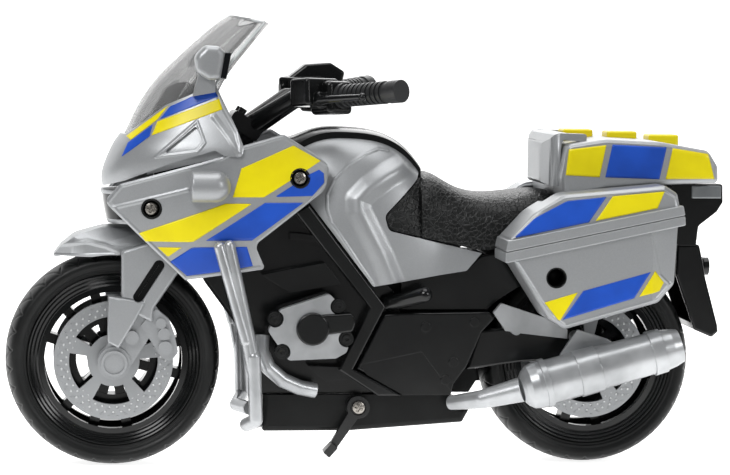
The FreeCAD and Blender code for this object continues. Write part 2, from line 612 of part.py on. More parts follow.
def screw(x, z, y, head_r=2.4, shank_r=1.1, length=6.0):
    """Cross-head screw whose head faces -Y, with the top of its head at y."""
    head = Part.makeCylinder(head_r, 1.4, V(x, y, z), V(0, 1, 0))
    head = soften(head, 0.5, lambda e: abs(e.CenterOfMass.y - y) < 1e-3 and e.Closed)
    shank = Part.makeCylinder(shank_r, length, V(x, y + 1.3, z), V(0, 1, 0))
    solid = joined(head, shank)
    arm = head_r * 0.62
    slots = [box(x - arm, x + arm, y - 0.1, y + 0.8, z - 0.35, z + 0.35),
             box(x - 0.35, x + 0.35, y - 0.1, y + 0.8, z - arm, z + arm)]
    return minus(solid, *slots)


# ---------------------------------------------------------------- engine
HEAD_CORNERS = ((-37.8, 60.0), (-13.7, 64.8), (-10.5, 52.4), (-35.1, 47.4))
HEAD_OUTLINE = [(-35.8, 63.6, 2), (-17.2, 69.6, 2), (-9.6, 61.0, 3), (-8.4, 54.0, 3), (-10.6, 47.2, 2),
                (-14.6, 45.0, 2),
                (-32.6, 44.2, 2), (-40.6, 55.6, 2)]


def cylinder_block():
    """Black cylinder that stands out of the engine bay, with four bolt posts and a cap on its face."""
    core_outline = [(-36.5, 61.0, 3), (-16.5, 67.4, 3), (-10.0, 56.0, 4), (-14.0, 46.6, 3), (-33.0, 45.8, 3)]
    core = side_prism(core_outline, 18.05, 33.0)
    fins = [side_prism(HEAD_OUTLINE, y, y + 1.3) for y in (21.0, 24.4, 27.8)]
    posts = [pin_y(x, z, 31.0, 36.2, 2.7) for x, z in HEAD_CORNERS]
    bolts = [minus(pin_y(x, z, 36.1, 37.0, 1.6), pin_y(x, z, 36.4, 38, 0.7)) for x, z in HEAD_CORNERS]
    cap = pin_y(-23.6, 56.2, 31.0, 39.2, 6.2)
    cap = soften(cap, 0.7, lambda e: abs(e.CenterOfMass.y - 39.2) < 1e-3 and e.Closed)
    bar = side_prism([(-20, 61.6), (-8.4, 62.2, 1.5), (-7.4, 58.6, 1.5), (-8.4, 55.4, 1.5), (-20, 53.8)],
                     31.0, 38.6)
    bar = soften(bar, 0.7, lambda e: abs(e.CenterOfMass.y - 38.6) < 1e-3)
    backing = side_prism(HEAD_OUTLINE, 31.0, 33.0)
    return joined(core, *fins, backing, *posts, *bolts, cap, bar)


def head_cover():
    """Silver rocker cover with a scallop round each bolt post."""
    plate = side_prism(HEAD_OUTLINE, 33.05, 37.2)
    scallops = [pin_y(x, z, 32, 39, 3.2) for x, z in HEAD_CORNERS]
    centre = pin_y(-23.6, 56.2, 32, 39, 6.25)
    bar = side_prism([(-20, 61.7), (-8.3, 62.3), (-5, 58.6), (-8.3, 55.3), (-20, 53.7)], 32, 39)
    plate = minus(plate, *scallops, centre, bar)
    plate = soften(plate, 0.6, lambda e: abs(e.CenterOfMass.y - 37.2) < 1e-3)
    return biggest(plate)


def header_pipe():
    """Chromed header pipe from the cylinder down into the belly."""
    points = [V(-42.0, 27.6, 53.0), V(-42.2, 28.4, 46.6), V(-39.6, 28.6, 40.6), V(-34.0, 28.0, 35.6),
              V(-27.4, 26.8, 32.6),
              V(-21.2, 25.2, 31.2)]
    return tube_path(points, 2.9)


# ---------------------------------------------------------------- exhaust, left side only
MUFFLER_FRONT = V(56.5, -41.0, 33.4)
MUFFLER_AIM = V(math.cos(math.radians(15.3)), 0, math.sin(math.radians(15.3)))


def muffler():
    """Silver silencer turned about its own axis, with bands, a hollow tail and a hanger plate."""
    profile = [(0, 0), (0, 4.9), (1.2, 6.8), (3.2, 8.4), (6.4, 9.1), (8.2, 9.1), (8.2, 9.5), (10.4, 9.5),
               (10.4, 8.7),
               (22.0, 8.5), (22.0, 9.0), (30.6, 8.9), (30.6, 8.4), (51.4, 8.0), (51.4, 8.7), (56.4,
                                                                                              8.5), (56.4,
                                                                                                     8.0),
               (60.2, 7.4), (63.4, 6.4), (63.4, 5.0), (54.0, 5.0), (54.0, 0)]
    up = V(-MUFFLER_AIM.z, 0, MUFFLER_AIM.x)
    corners = [MUFFLER_FRONT + MUFFLER_AIM * s + up * r for s, r in profile]
    body = Part.Face(Part.makePolygon(corners + corners[:1])).revolve(MUFFLER_FRONT, MUFFLER_AIM, 360)
    hanger = side_prism([(72.0, 43.0), (72.6, 46.0), (78.9, 55.6, 1), (91.8, 51.6, 2), (93.0, 46.0)], -34.5,
                        -32.5)
    lug = pin_y(80.5, 51.5, -34.5, -21.5, 2.4)
    return joined(body, hanger, lug)


def mid_pipe():
    """Silver pipe from the belly to the silencer, widening on the way."""
    start = V(31.8, -23.9, 26.0)
    bend = V(42.0, -36.0, 29.0)
    return joined(rod(start, bend, 2.8, 3.6), Part.makeSphere(3.6, bend),
                  rod(bend, MUFFLER_FRONT + MUFFLER_AIM * 0.05, 3.6, 4.8))


# ---------------------------------------------------------------- bodywork
def fairing_half(x, z):
    """Half width of the side fairing at a place in side view."""
    return 33.0 - 0.0036 * (x + 50) ** 2 - 0.0035 * (z - 105) ** 2


FAIRING_OUTLINE = [(-102.2, 103.4, 3), (-96.0, 110.2, 2), (-58.0, 121.0, 6), (-50.8, 125.0, 4),
                   (-34.6, 129.6, 2), (-16.4, 118.4, 6),
                   (-18.6, 108.6, 6), (-45.4, 87.6, 3), (-41.2, 78.4, 1.2), (-71.4, 73.9, 1)]
FAIRING_SCREWS = ((-84.4, 101.0), (-28.3, 113.0))


def side_fairing():
    """Silver side panel with two screw wells and the boss of the turn signal."""
    slab = skin_slab(fairing_half, (-108, -10), (68, 134), SHELL)
    panel = slab.common(side_prism(FAIRING_OUTLINE, 0, 45))
    for x, z in FAIRING_SCREWS:
        outside = fairing_half(x, z)
        well = pin_y(x, z, outside - 4.2, outside - 1.0, 4.4)
        post = pin_y(x, z, outside - 10.0, outside - 4.2, 2.4)
        panel = joined(panel, well, post)
        panel = minus(panel, pin_y(x, z, outside - 2.9, outside + 2, 3.4), pin_y(x, z, outside - 11, outside,
                                                                                 1.15))
    under_cowl = cowl_loft(-0.15).common(side_prism(COWL_OUTLINE, 0, 40))
    return biggest(minus(panel, under_cowl))


def turn_signal():
    """Bullet-shaped lamp housing on the fairing."""
    barrel = rod(V(-69.8, 34.6, 109.9), V(-60.8, 34.6, 109.9), 6.0)
    nose = Part.makeSphere(6.0, V(-60.8, 34.6, 109.9))
    solid = joined(barrel, nose)
    solid = soften(solid, 0.9, lambda e: abs(e.CenterOfMass.x + 69.8) < 1e-3)
    outside = skin_slab(fairing_half, (-108, -10), (68, 134), 30)
    return minus(solid, outside)


COWL_SECTIONS = ((104.0, -101.6, 26.5), (110.0, -102.6, 29.6), (115.0, -102.2, 32.0), (120.0, -100.4, 33.3),
                 (125.0, -98.0, 32.8),
                 (130.0, -94.4, 30.9), (136.0, -90.4, 28.9), (143.0, -86.0, 27.2), (152.0, -80.0, 25.6))
COWL_OUTLINE = [(-106, 107.4), (-94.0, 111.3), (-77.0, 118.4), (-60.8, 123.4), (-57.6, 121.4),
                (-50.6, 120.8, 2),
                (-49.8, 124.4, 2), (-52.4, 131.4), (-61.2, 150.0),
                (-68.5, 144.6, 8), (-78.5, 140.2, 6), (-93.6, 128.6), (-106, 128.6)]
VENT = [(-81.2, 121.4, 0.8), (-67.6, 132.6, 0.8), (-65.8, 126.4, 1.5), (-68.0, 124.2, 1.5)]


def cowl_loft(inset):
    return loft([nose_wire(z, front + inset, -44.0, half - inset) for z, front, half in COWL_SECTIONS])


def cowl():
    """Silver nose cowl, round the headlight and under the screen, with a vent in each side."""
    shell = minus(cowl_loft(0), cowl_loft(SHELL))
    shell = shell.common(side_prism(COWL_OUTLINE, -40, 40))
    vent = side_prism(VENT, 15, 40)
    around = side_prism([(-83.4, 119.6), (-67.0, 135.4), (-63.6, 126.0), (-67.2, 121.8)], 15, 40)
    floor = minus(cowl_loft(1.4), cowl_loft(2.6)).common(around)
    shell = joined(minus(shell, vent, mirrored(vent)), floor, mirrored(floor))
    return biggest(shell)


SCREEN_CENTRE = ((-95.0, 126.5), (-90.4, 136.2), (-84.0, 146.9), (-74.0, 157.7), (-64.0, 166.8),
                 (-53.4, 174.6))
SCREEN_EDGE = ((-62.5, 143.5), (-60.3, 148.6), (-56.8, 154.2), (-52.0, 160.2), (-46.6, 166.6), (-41.4, 172.4))
SCREEN_HALF = (24.6, 24.2, 23.4, 22.4, 21.0, 19.0)
SCREEN_THICK = 1.3


def windscreen():
    """Clear curved screen, swept back, its foot inside the cowl."""
    grid = []
    for centre, edge, half in zip(SCREEN_CENTRE, SCREEN_EDGE, SCREEN_HALF):
        row = []
        for i in range(11):
            u = -1 + 0.2 * i
            bend = abs(u) ** 2.2
            row.append(V(centre[0] + (edge[0] - centre[0]) * bend, half * u,
                         centre[1] + (edge[1] - centre[1]) * bend))
        grid.append(row)
    surface = Part.BSplineSurface()
    surface.interpolate(grid)
    return surface.toShape().extrude(V(0.75, 0, -0.66) * SCREEN_THICK)


def headlight():
    """Dark lens block under the nose, and its grey surround above and below."""
    sections = [nose_wire(z, front, -88.0, 16.6, 3.0) for z, front in ((96.0, -101.0), (101.0, -102.0),
                                                                       (105.6, -102.6))]
    lens = loft(sections)
    top = loft([nose_wire(z, front, -84.0, 17.2, 3.0) for z, front in ((105.65, -102.9), (107.1, -103.0))])
    foot = loft([nose_wire(z, front, -84.0, 17.2, 3.0) for z, front in ((94.3, -100.2), (95.95, -101.0))])
    back = box(-87.9, -84.0, -16.0, 16.0, 94.4, 107.0)
    return lens, joined(top, foot, back)


def cowl_bracket():
    """Black bracket from the head tube to the headlight and the dash."""
    arm = side_prism([(-84.0, 97.0), (-84.0, 106.0), (-80.0, 127.5), (-68.0, 129.5), (-66.4, 112.8),
                      (-74.2, 100.4)], -7, 7)
    return minus(arm, rod(steer_point(26), steer_point(54), 5.65))


def dashboard():
    """Dark instrument panel behind the screen, with two round dials."""
    hood = side_prism([(-86.5, 131.0, 2), (-78.1, 146.4, 3), (-71.5, 149.2, 2), (-66.6, 147.4, 1),
                       (-62.0, 139.0, 2), (-68.0, 128.2),
                       (-80.0, 126.2)], -12.5, 12.5)
    hood = soften(hood, 1.5, lambda e: abs(abs(e.CenterOfMass.y) - 12.5) < 1e-3)
    dials = [rod(V(-66.6, y, 141.0), V(-62.9, y, 144.6), 4.0) for y in (-5.6, 5.6)]
    return joined(hood, *dials)


MIRROR_OUTLINE = [(-67.8, 152.6, 4), (-68.6, 158.8, 4), (-64.6, 162.9, 3), (-59.4, 162.6, 2.5),
                  (-57.0, 160.4, 1.5),
                  (-58.6, 150.2, 1.5), (-63.0, 149.6, 3)]
MIRROR_GLASS = [(-57.9, 150.6), (-56.2, 160.2), (-54.8, 160.0), (-56.6, 150.2)]


def mirror_housing():
    """Silver mirror housing on a broad stalk on the cowl, with a pocket for the glass in its rear face."""
    pod = side_prism(MIRROR_OUTLINE, 20.4, 32.0)
    pod = soften(pod, 2.6, lambda e: abs(e.CenterOfMass.y - 26.2) > 5.7)
    stalk = side_prism([(-69.0, 143.6), (-60.6, 145.2), (-60.8, 151.6), (-66.6, 152.6)], 23.6, 28.2)
    pocket = side_prism([(x - 0.9, z) for x, z in MIRROR_GLASS[:2]] + MIRROR_GLASS[2:], 22.0, 30.4)
    return minus(joined(pod, stalk), pocket)


def mirror_glass():
    """Dark glass that stands a little proud of the pocket."""
    return side_prism([(x - 0.8, z) for x, z in MIRROR_GLASS[:2]] + MIRROR_GLASS[2:], 22.1, 30.3)


TANK_SECTIONS = ((-32.0, 20.5, 125.6), (-22.0, 24.8, 128.6), (-8.0, 27.4, 129.8), (4.0, 27.6, 128.2),
                 (13.0, 26.8, 123.8),
                 (20.0, 25.6, 116.2), (30.0, 24.4, 106.0), (46.0, 23.0, 99.0))
TANK_FOOT = 66.0
TANK_OUTLINE = [(-30.0, 127.2), (-31, 140), (30, 140), (18.4, 112.4), (4.8, 98.6, 3), (6.4, 92.8, 3),
                (43.0, 84.1), (37.1, 77.3, 1),
                (0.6, 71.4, 1), (-23.6, 103.0), (-30.0, 110.0)]
STRIP_HALF = 12.6


def tank_loft(grow):
    """Body of tank and waist, grown outwards by grow."""
    wires = [arch_wire(x, half + grow, TANK_FOOT, top + grow, 3.0) for x, half, top in TANK_SECTIONS]
    return loft(wires)


def tank_cover():
    """Silver side panel of the tank and waist."""
    shell = minus(tank_loft(0), tank_loft(-SHELL))
    panel = shell.common(side_prism(TANK_OUTLINE, STRIP_HALF + 0.1, 40))
    return biggest(panel)


def tank_top():
    """Black centre strip over the tank, standing a little proud."""
    shell = minus(tank_loft(2.0), tank_loft(-SHELL))
    outline = [(-31.4, 118.0), (-31.4, 140.0), (20.4, 140.0), (20.4, 112.0), (14.0, 112.0), (4.0, 120.0)]
    strip = shell.common(side_prism(outline, -STRIP_HALF, STRIP_HALF))
    return biggest(strip)


SEAT_SECTIONS = ((4.0, 24.0, 92.4, 98.8), (12.0, 24.8, 91.2, 106.0), (18.0, 25.2, 90.4, 111.2),
                 (23.4, 25.2, 89.4, 114.4), (29.0, 24.6, 88.2, 112.0), (36.0, 24.6, 86.6, 108.4),
                 (44.0, 24.6, 85.4, 106.6), (57.0, 24.4, 88.8, 107.2), (66.0, 23.0, 92.8, 108.0),
                 (72.0, 22.0, 95.2, 107.4), (77.5, 21.0, 97.8, 105.0))


def seat():
    """Black seat with a leather-grained cover; its front slides under the tank."""
    cushion = loft([arch_wire(x, half, low, top, 3.2) for x, half, low, top in SEAT_SECTIONS])
    under_tank = cushion.common(tank_loft(-SHELL - 0.05)).common(box(0, 19.5, -30, 30, 60, 130))
    notch = side_prism([(5.3, 98.4, 3), (7.0, 93.2, 3), (19.6, 90.3), (19.6, 112.8), (18.9, 112.2)], -30, 30)
    nose = tank_loft(-0.4).common(notch)
    cushion = joined(under_tank, nose, cushion.common(box(19.5, 80, -30, 30, 60, 130)))
    spine = side_prism(spine_outline(), -SPINE_HALF - 0.05, SPINE_HALF + 0.05)
    return minus(cushion, box(71.4, 80, -30, 30, 104.5, 112), spine)


def tail_frame():
    """Black rear subframe, fender and lamp carrier."""
    outline = [(42.0, 82.2), (46.0, 83.2, 6), (78.0, 95.4, 4), (119.0, 102.6), (118.5, 111.0),
               (138.7, 111.0, 1), (138.9, 103.9, 1),
               (136.6, 100.2, 2), (129.4, 94.6, 2), (128.6, 86.9), (122.0, 86.9), (116.8, 90.0, 3), (90, 84),
               (60, 60)]
    wide = side_prism(outline, -19.0, 19.0)
    wheel_cut = pin_y(REAR_X, AXLE_Z, -25, 25, FENDER_R + 2.0)
    spine = side_prism(spine_outline(), -SPINE_HALF - 0.05, SPINE_HALF + 0.05)
    cheeks = minus(wide, wheel_cut, spine)
    hollow = box(60, 136.5, -16.8, 16.8, 96, 109)
    lamp_room = box(127.8, 140, -14.6, 14.6, 104.0, 110.2)
    solid = minus(cheeks, hollow, lamp_room)
    return biggest(solid)


def waist_panel():
    """Black side panel between the tank cover, the seat and the pannier."""
    outline = [(12.4, 66.2), (12.4, 62.0), (46.0, 62.0), (50.0, 65.6), (60.0, 72.0), (60.0, 85.0, 2),
               (50.0, 83.6), (43.2, 82.2),
               (37.2, 76.9), (12.4, 73.0)]
    return side_prism(outline, SPINE_HALF + 0.05, 20.4)


TOPBOX_OUTLINE = [(73.2, 105.0, 1.5), (71.9, 114.0, 3), (74.2, 126.4, 3), (89.0, 128.9, 20),
                  (110.0, 127.9, 20), (129.4, 124.6, 4),
                  (133.2, 118.6, 3), (133.5, 112.2, 1.5), (112.0, 111.3, 20), (90.0, 109.4, 10)]
TOPBOX_HALF = 34.0


def topbox():
    """Silver top box shell, open below, with a window for each button."""
    solid = side_prism(TOPBOX_OUTLINE, -TOPBOX_HALF, TOPBOX_HALF)
    solid = soften(solid, 2.4, lambda e: abs(abs(e.CenterOfMass.y) - TOPBOX_HALF) < 1e-3)
    room = inner_room(TOPBOX_OUTLINE, 1.8, -TOPBOX_HALF + 1.8, TOPBOX_HALF - 1.8)
    mouth = side_prism([(76.5, 100), (76.5, 111.5), (131.5, 116.0), (131.5, 100)], -32.0, 32.0)
    shell = minus(solid, room, mouth)
    wide, deep = BUTTON_SIZE
    for x in BUTTON_XS:
        window = box(x - wide / 2 - GAP, x + wide / 2 + GAP, -deep / 2 - GAP, deep / 2 + GAP, 122.0, 135.0)
        shell = minus(shell, window)
    return shell


def button(index):
    """Yellow push button: a cap above the lid and a flange with a stem below it."""
    x, top = BUTTON_XS[index], BUTTON_TOPS[index]
    wide, deep = BUTTON_SIZE
    cap = box(x - wide / 2, x + wide / 2, -deep / 2, deep / 2, top - 7.0, top)
    cap = soften(cap, 0.9, lambda e: e.CenterOfMass.z > top - 5)
    flange = box(x - wide / 2 - 1.4, x + wide / 2 + 1.4, -deep / 2 - 1.4, deep / 2 + 1.4, top - 8.0,
                 top - 7.0)
    stem = Part.makeCylinder(1.6, 2.0, V(x, 0, top - 10.0))
    return joined(cap, flange, stem)


BOARD_TOP = 117.0


def switch_board():
    """Circuit board in the top box with a switch under each button."""
    board = box(77.0, 125.0, -14.0, 14.0, BOARD_TOP - 1.2, BOARD_TOP)
    switches = [box(x - 2.4, x + 2.4, -2.4, 2.4, BOARD_TOP, BUTTON_TOPS[i] - 11.5) for i,
                x in enumerate(BUTTON_XS)]
    return joined(board, *switches)


def topbox_tray():
    """Black tray that closes the top box below and carries the board."""
    low = [(76.7, 105.9), (90.0, 109.7), (112.0, 111.6), (131.3, 112.4)]
    high = [(x, z + 1.7) for x, z in reversed(low)]
    legs = [box(80.0, 82.0, -13.0, 13.0, 107.8, BOARD_TOP - 1.25), box(120.0, 122.0, -13.0, 13.0, 113.0,
                                                                       BOARD_TOP - 1.25)]
    return joined(side_prism(low + high, -31.9, 31.9), *legs)


def backrest():
    """Silver backrest pad, bowed forwards in plan, with an arm along each side of the lid."""
    outline = [(66.8, 111.6, 2), (66.8, 125.8, 4.5), (71.0, 130.4, 2.5), (76.0, 130.6), (76.0, 129.2),
               (73.4, 127.4, 2),
               (72.4, 114.0), (73.4, 110.2), (70.0, 110.0, 2)]
    plan = [(66.8, -12, 24), (69.8, -25.0, 4), (84, -25.0), (84, 25.0), (69.8, 25.0, 4), (66.8, 12, 24)]
    pad = side_prism(outline, -25.0, 25.0).common(plan_prism(plan, 100, 140))
    arm = side_prism([(73.0, 128.0), (73.0, 130.6), (83.2, 130.3, 0.8), (83.2, 127.4)], 19.0, 24.6)
    return minus(joined(pad, arm, mirrored(arm)), side_prism(TOPBOX_OUTLINE, -35, 35))


PANNIER_IN, PANNIER_OUT = 27.0, 50.0
BAND_OUT = PANNIER_OUT + 1.2
LID_OUTLINE = [(48.6, 90.6), (58.2, 101.0, 14), (70.0, 108.4, 8), (108.8, 112.0, 2), (113.6, 109.0, 2),
               (115.4, 100.6)]
RIM_TOP = [(47.6, 86.6, 0.6), (48.4, 90.9, 0.6), (115.6, 104.6, 0.6), (116.4, 100.8, 0.6)]
RIM_LOW = [(47.6, 82.4, 0.6), (47.6, 86.4, 0.6), (116.4, 100.6, 0.6), (116.6, 97.0, 0.6)]
TUB_OUTLINE = [(50.2, 84.0), (64.6, 61.4, 3), (70.8, 57.2, 3), (106.8, 67.4, 4), (113.6, 74.2, 3),
               (115.0, 98.4)]
KEYHOLE = (67.4, 76.9)


def pannier():
    """Silver side case: a tub and a lid, each with its half of the rim band."""
    lid = soften(side_prism(LID_OUTLINE, PANNIER_IN, PANNIER_OUT), 2.0,
                 lambda e: abs(e.CenterOfMass.y - PANNIER_OUT) < 1e-3)
    tub = soften(side_prism(TUB_OUTLINE, PANNIER_IN, PANNIER_OUT), 1.6,
                 lambda e: abs(e.CenterOfMass.y - PANNIER_OUT) < 1e-3)
    rear_facet = Part.makeBox(40, 20, 60, V(0, 0, 0))
    rear_facet.Placement = FreeCAD.Placement(V(104.4, PANNIER_OUT, 60.0), FreeCAD.Rotation(V(0, 0, 1), -24))
    tub = minus(tub, rear_facet)
    lid_room = inner_room(LID_OUTLINE, 1.6, PANNIER_IN + 1.6, PANNIER_OUT - 2.8)
    tub_room = inner_room(TUB_OUTLINE, 1.6, PANNIER_IN + 1.6, PANNIER_OUT - 4.8)
    well = pin_y(*KEYHOLE, PANNIER_OUT - 14.0, PANNIER_OUT - 2.0, 4.9)
    top_band, low_band = [
        soften(side_prism(outline, PANNIER_IN - 0.4, BAND_OUT), 0.5,
               lambda e: abs(e.CenterOfMass.y - BAND_OUT) < 1e-3)
        for outline in (RIM_TOP, RIM_LOW)]
    above = side_prism([(40, 84.94), (125, 102.57), (125, 125), (40, 125)], 20, 60)
    below = side_prism([(40, 84.86), (125, 102.49), (125, 40), (40, 40)], 20, 60)
    step = box(60, 140, 20, TOPBOX_HALF + GAP, 104.6, 130)
    lid_solid = minus(joined(minus(lid, lid_room), minus(top_band, lid_room)), below, step)
    tub_solid = joined(minus(tub, tub_room), minus(low_band, tub_room), well)
    tub_solid = minus(tub_solid, above, pin_y(*KEYHOLE, PANNIER_OUT - 12.0, PANNIER_OUT + 2, 3.6),
                      pin_y(*KEYHOLE, PANNIER_OUT - 15.0, PANNIER_OUT, 1.2))
    return biggest(tub_solid), biggest(lid_solid)


def pannier_bracket():
    """Silver passenger-rest bracket between the chassis and the pannier."""
    outline = [(47.0, 61.6), (50.1, 65.2, 1), (67.8, 59.4), (76.0, 55.0), (76.0, 51.5), (58.1, 53.6),
               (51.8, 54.6)]
    return minus(side_prism(outline, 26.65, 29.6), side_prism(TUB_OUTLINE, 26, 31))


def mud_flap():
    """Black rear mud flap that widens towards its foot."""
    outline = [(122.4, 86.85), (131.2, 86.85, 1), (132.8, 80.0), (134.0, 73.6), (139.2, 55.0, 1),
               (HALF_LENGTH, 52.4), (137.0, 50.2, 1),
               (129.9, 53.2, 1), (122.0, 75.0)]
    flap = side_prism(outline, -14.5, 14.5)
    flap = soften(flap, 1.0, lambda e: abs(abs(e.CenterOfMass.y) - 14.5) < 1e-3)
    hollow = side_prism([(124.0, 84.0), (129.6, 84.0), (131.0, 74.0), (135.6, 56.0), (131.2, 55.4),
                         (123.8, 75.0)], -12.8, 12.8)
    open_front = side_prism([(118.0, 84.0), (127.0, 84.0), (127.0, 74.0), (131.0, 57.0), (126.0, 54.0),
                             (116.0, 75.0)], -12.8, 12.8)
    return minus(flap, hollow, open_front)


def tail_lamp():
    """Tail lamp lens in its pocket."""
    outline = [(128.0, 104.2), (128.0, 110.0), (138.9, 110.0, 0.8), (139.0, 104.2, 0.8)]
    return side_prism(outline, -14.4, 14.4)


def plate_lamp():
    """Small round lamp on the back of the flap, on a short neck."""
    return joined(rod(V(133.4, 0, 77.2), V(137.4, 0, 77.2), 3.0), rod(V(136.0, 0, 77.2), V(138.2, 0, 77.2),
                                                                      3.6))


def crash_bar():
    """Silver guard: two tubes that run together, then one down to a foot under the belly."""
    top = V(-57.0, 34.6, 87.2)
    middle = V(-45.8, 37.0, 45.6)
    low = V(-44.8, 36.4, 21.6)
    inner = V(-47.6, 28.0, 18.6)
    end = V(-43.0, 18.0, 18.4)
    apart = V(1.85, 0, 0.3)
    fork = middle - V(3.0, 0, -6.0)
    first = rod(top - apart, fork, 2.2)
    second = rod(top + apart, middle, 2.2)
    lower = joined(Part.makeSphere(2.6, middle), rod(middle, low, 2.6, 2.7), Part.makeSphere(2.7, low),
                   rod(low, inner, 2.7),
                   Part.makeSphere(2.7, inner), rod(inner, end, 2.7))
    brace = rod(fork, V(-45.2, 36.8, 33.0), 1.8)
    upper_ball = Part.makeSphere(2.2, fork)
    ends = [Part.makeSphere(2.2, top - apart), Part.makeSphere(2.2, top + apart)]
    web = rod(top - V(0, 0, 2), V(-46.9, 36.6, 49.0), 1.3)
    solid = joined(first, second, lower, brace, upper_ball, web, *ends)
    return minus(solid, box(-41.0, 0, -30, 30, 0, 40))


def foot_peg():
    """Glossy black rider's peg behind the strut."""
    start, end = V(7.0, 20.6, 64.2), V(20.0, 31.0, 68.6)
    return joined(rod(start, end, 3.3, 2.9), Part.makeSphere(2.9, end))


# ---------------------------------------------------------------- assembly
def screw_places():
    """Screw heads (x, z, y of the head's face) on the right, the left and the side-stand pivot."""
    both = [(x, z, fairing_half(x, z) - 1.45) for x, z in FAIRING_SCREWS]
    both.append((KEYHOLE[0], KEYHOLE[1], PANNIER_OUT - 10.5))
    right = both + [(x, z, 26.0) for x, z in CASE_SCREWS]
    left = both + [(STAND_X, STAND_Z, 26.35)]
    return right, left


def body_screws():
    """All the body's screws, which are alike."""
    right, left = screw_places()
    solids = [mirrored(screw(x, z, -y)) for x, z, y in right] + [screw(x, z, -y) for x, z, y in left]
    return Part.makeCompound(solids)


def build():
    nodes = {}
    tub, lid = pannier()
    lens, surround = headlight()
    case_inner, case_cover = gear_case()
    battery_box, battery_cover, cells = battery_parts()
    chassis = chassis_half()
    frame = side_frame()
    nodes["chassis_right"] = joined(minus(chassis, *shaft_holes(10, 20)), case_inner)
    nodes["chassis_left"] = minus(mirrored(chassis), pin_y(*SHAFTS["pinion"], -14.45, -10, 1.4 + FIT))
    nodes["side_frame_right"] = joined(biggest(minus(frame, side_prism(CASE_OUTLINE, 14, 40))), foot_peg())
    nodes["side_frame_left"] = mirrored(joined(frame, left_motor_cover(), foot_peg()))
    nodes["gear_case_cover"] = case_cover
    nodes["belly_pan"] = joined(belly_pan(), battery_box)
    nodes["battery_cover"] = battery_cover
    nodes["button_cells"] = cells
    nodes["speaker"] = joined(Part.makeCylinder(9.0, 3.8, V(16, 0, 16.8)), Part.makeCylinder(5.0, 2.0,
                                                                                             V(16, 0, 20.6)))
    nodes["cylinders"] = pair(cylinder_block())
    nodes["head_covers"] = pair(head_cover())
    nodes["header_pipes"] = pair(header_pipe())
    nodes["muffler"] = joined(muffler(), mid_pipe())
    nodes["side_fairing_right"] = side_fairing()
    nodes["side_fairing_left"] = mirrored(nodes["side_fairing_right"])
    nodes["turn_signals"] = pair(turn_signal())
    nodes["nose_cowl"] = cowl()
    nodes["windscreen"] = biggest(minus(windscreen(), nodes["nose_cowl"]))
    nodes["headlight_lens"] = lens
    nodes["headlight_surround"] = surround
    nodes["dashboard"] = joined(dashboard(), cowl_bracket())
    nodes["mirror_housings"] = pair(biggest(minus(mirror_housing(), nodes["nose_cowl"])))
    nodes["mirror_glasses"] = pair(mirror_glass())
    nodes["tank_cover_right"] = tank_cover()
    nodes["tank_cover_left"] = mirrored(nodes["tank_cover_right"])
    nodes["tank_top"] = tank_top()
    nodes["seat"] = biggest(minus(seat(), nodes["tank_cover_right"], nodes["tank_cover_left"],
                                  nodes["tank_top"]))
    panel = waist_panel()
    nodes["tail_frame"] = joined(tail_frame(), minus(panel, side_prism(CASE_OUTLINE, 14, 40)),
                                 mirrored(panel))
    nodes["topbox"] = topbox()
    nodes["topbox_tray"] = topbox_tray()
    nodes["backrest"] = backrest()
    nodes["switch_board"] = switch_board()
    for index in range(len(BUTTON_XS)):
        nodes["button_%d" % (index + 1)] = button(index)
    nodes["pannier_tubs"] = pair(tub)
    nodes["pannier_lids"] = pair(lid)
    bracket = pannier_bracket()
    nodes["pannier_brackets"] = Part.makeCompound(
        [bracket, mirrored(joined(bracket, pin_y(56.5, 54.6, 21.45, 27.0, 2.0)))])
    nodes["mud_flap"] = joined(mud_flap(), plate_lamp())
    nodes["tail_lamp"] = tail_lamp()
    nodes["crash_bars"] = pair(crash_bar())
    nodes["side_stand"] = side_stand()
    nodes["body_screws"] = body_screws()
    nodes["fork_legs"] = pair(fork_leg())
    nodes["fork_bridge"] = fork_bridge()
    nodes["front_mudguard"] = mudguard()
    hand = lever()
    nodes["handlebar"] = joined(handlebar(), hand, mirrored(hand))
    nodes["grips"] = pair(grip())
    for end, x in (("front", FRONT_X), ("rear", REAR_X)):
        nodes[end + "_tyre"] = tyre(x)
        nodes[end + "_rim"] = rim(x)
        nodes[end + "_discs"] = pair(brake_disc(x))
    nodes["front_axle"] = pin_y(FRONT_X, AXLE_Z, -21.0, 21.0, 1.5)
    nodes["rear_axle"] = pin_y(REAR_X, AXLE_Z, -21.0, 25.6, 1.5)
    nodes.update(gear_train())
    return nodes


def save(nodes):
    os.makedirs("parts", exist_ok=True)
    for name, shape in nodes.items():
        shape.exportStep("parts/%s.step" % name)


if __name__ == "__main__":
    save(build())
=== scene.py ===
import math

import bpy
import numpy as np
from mathutils import Matrix, Vector


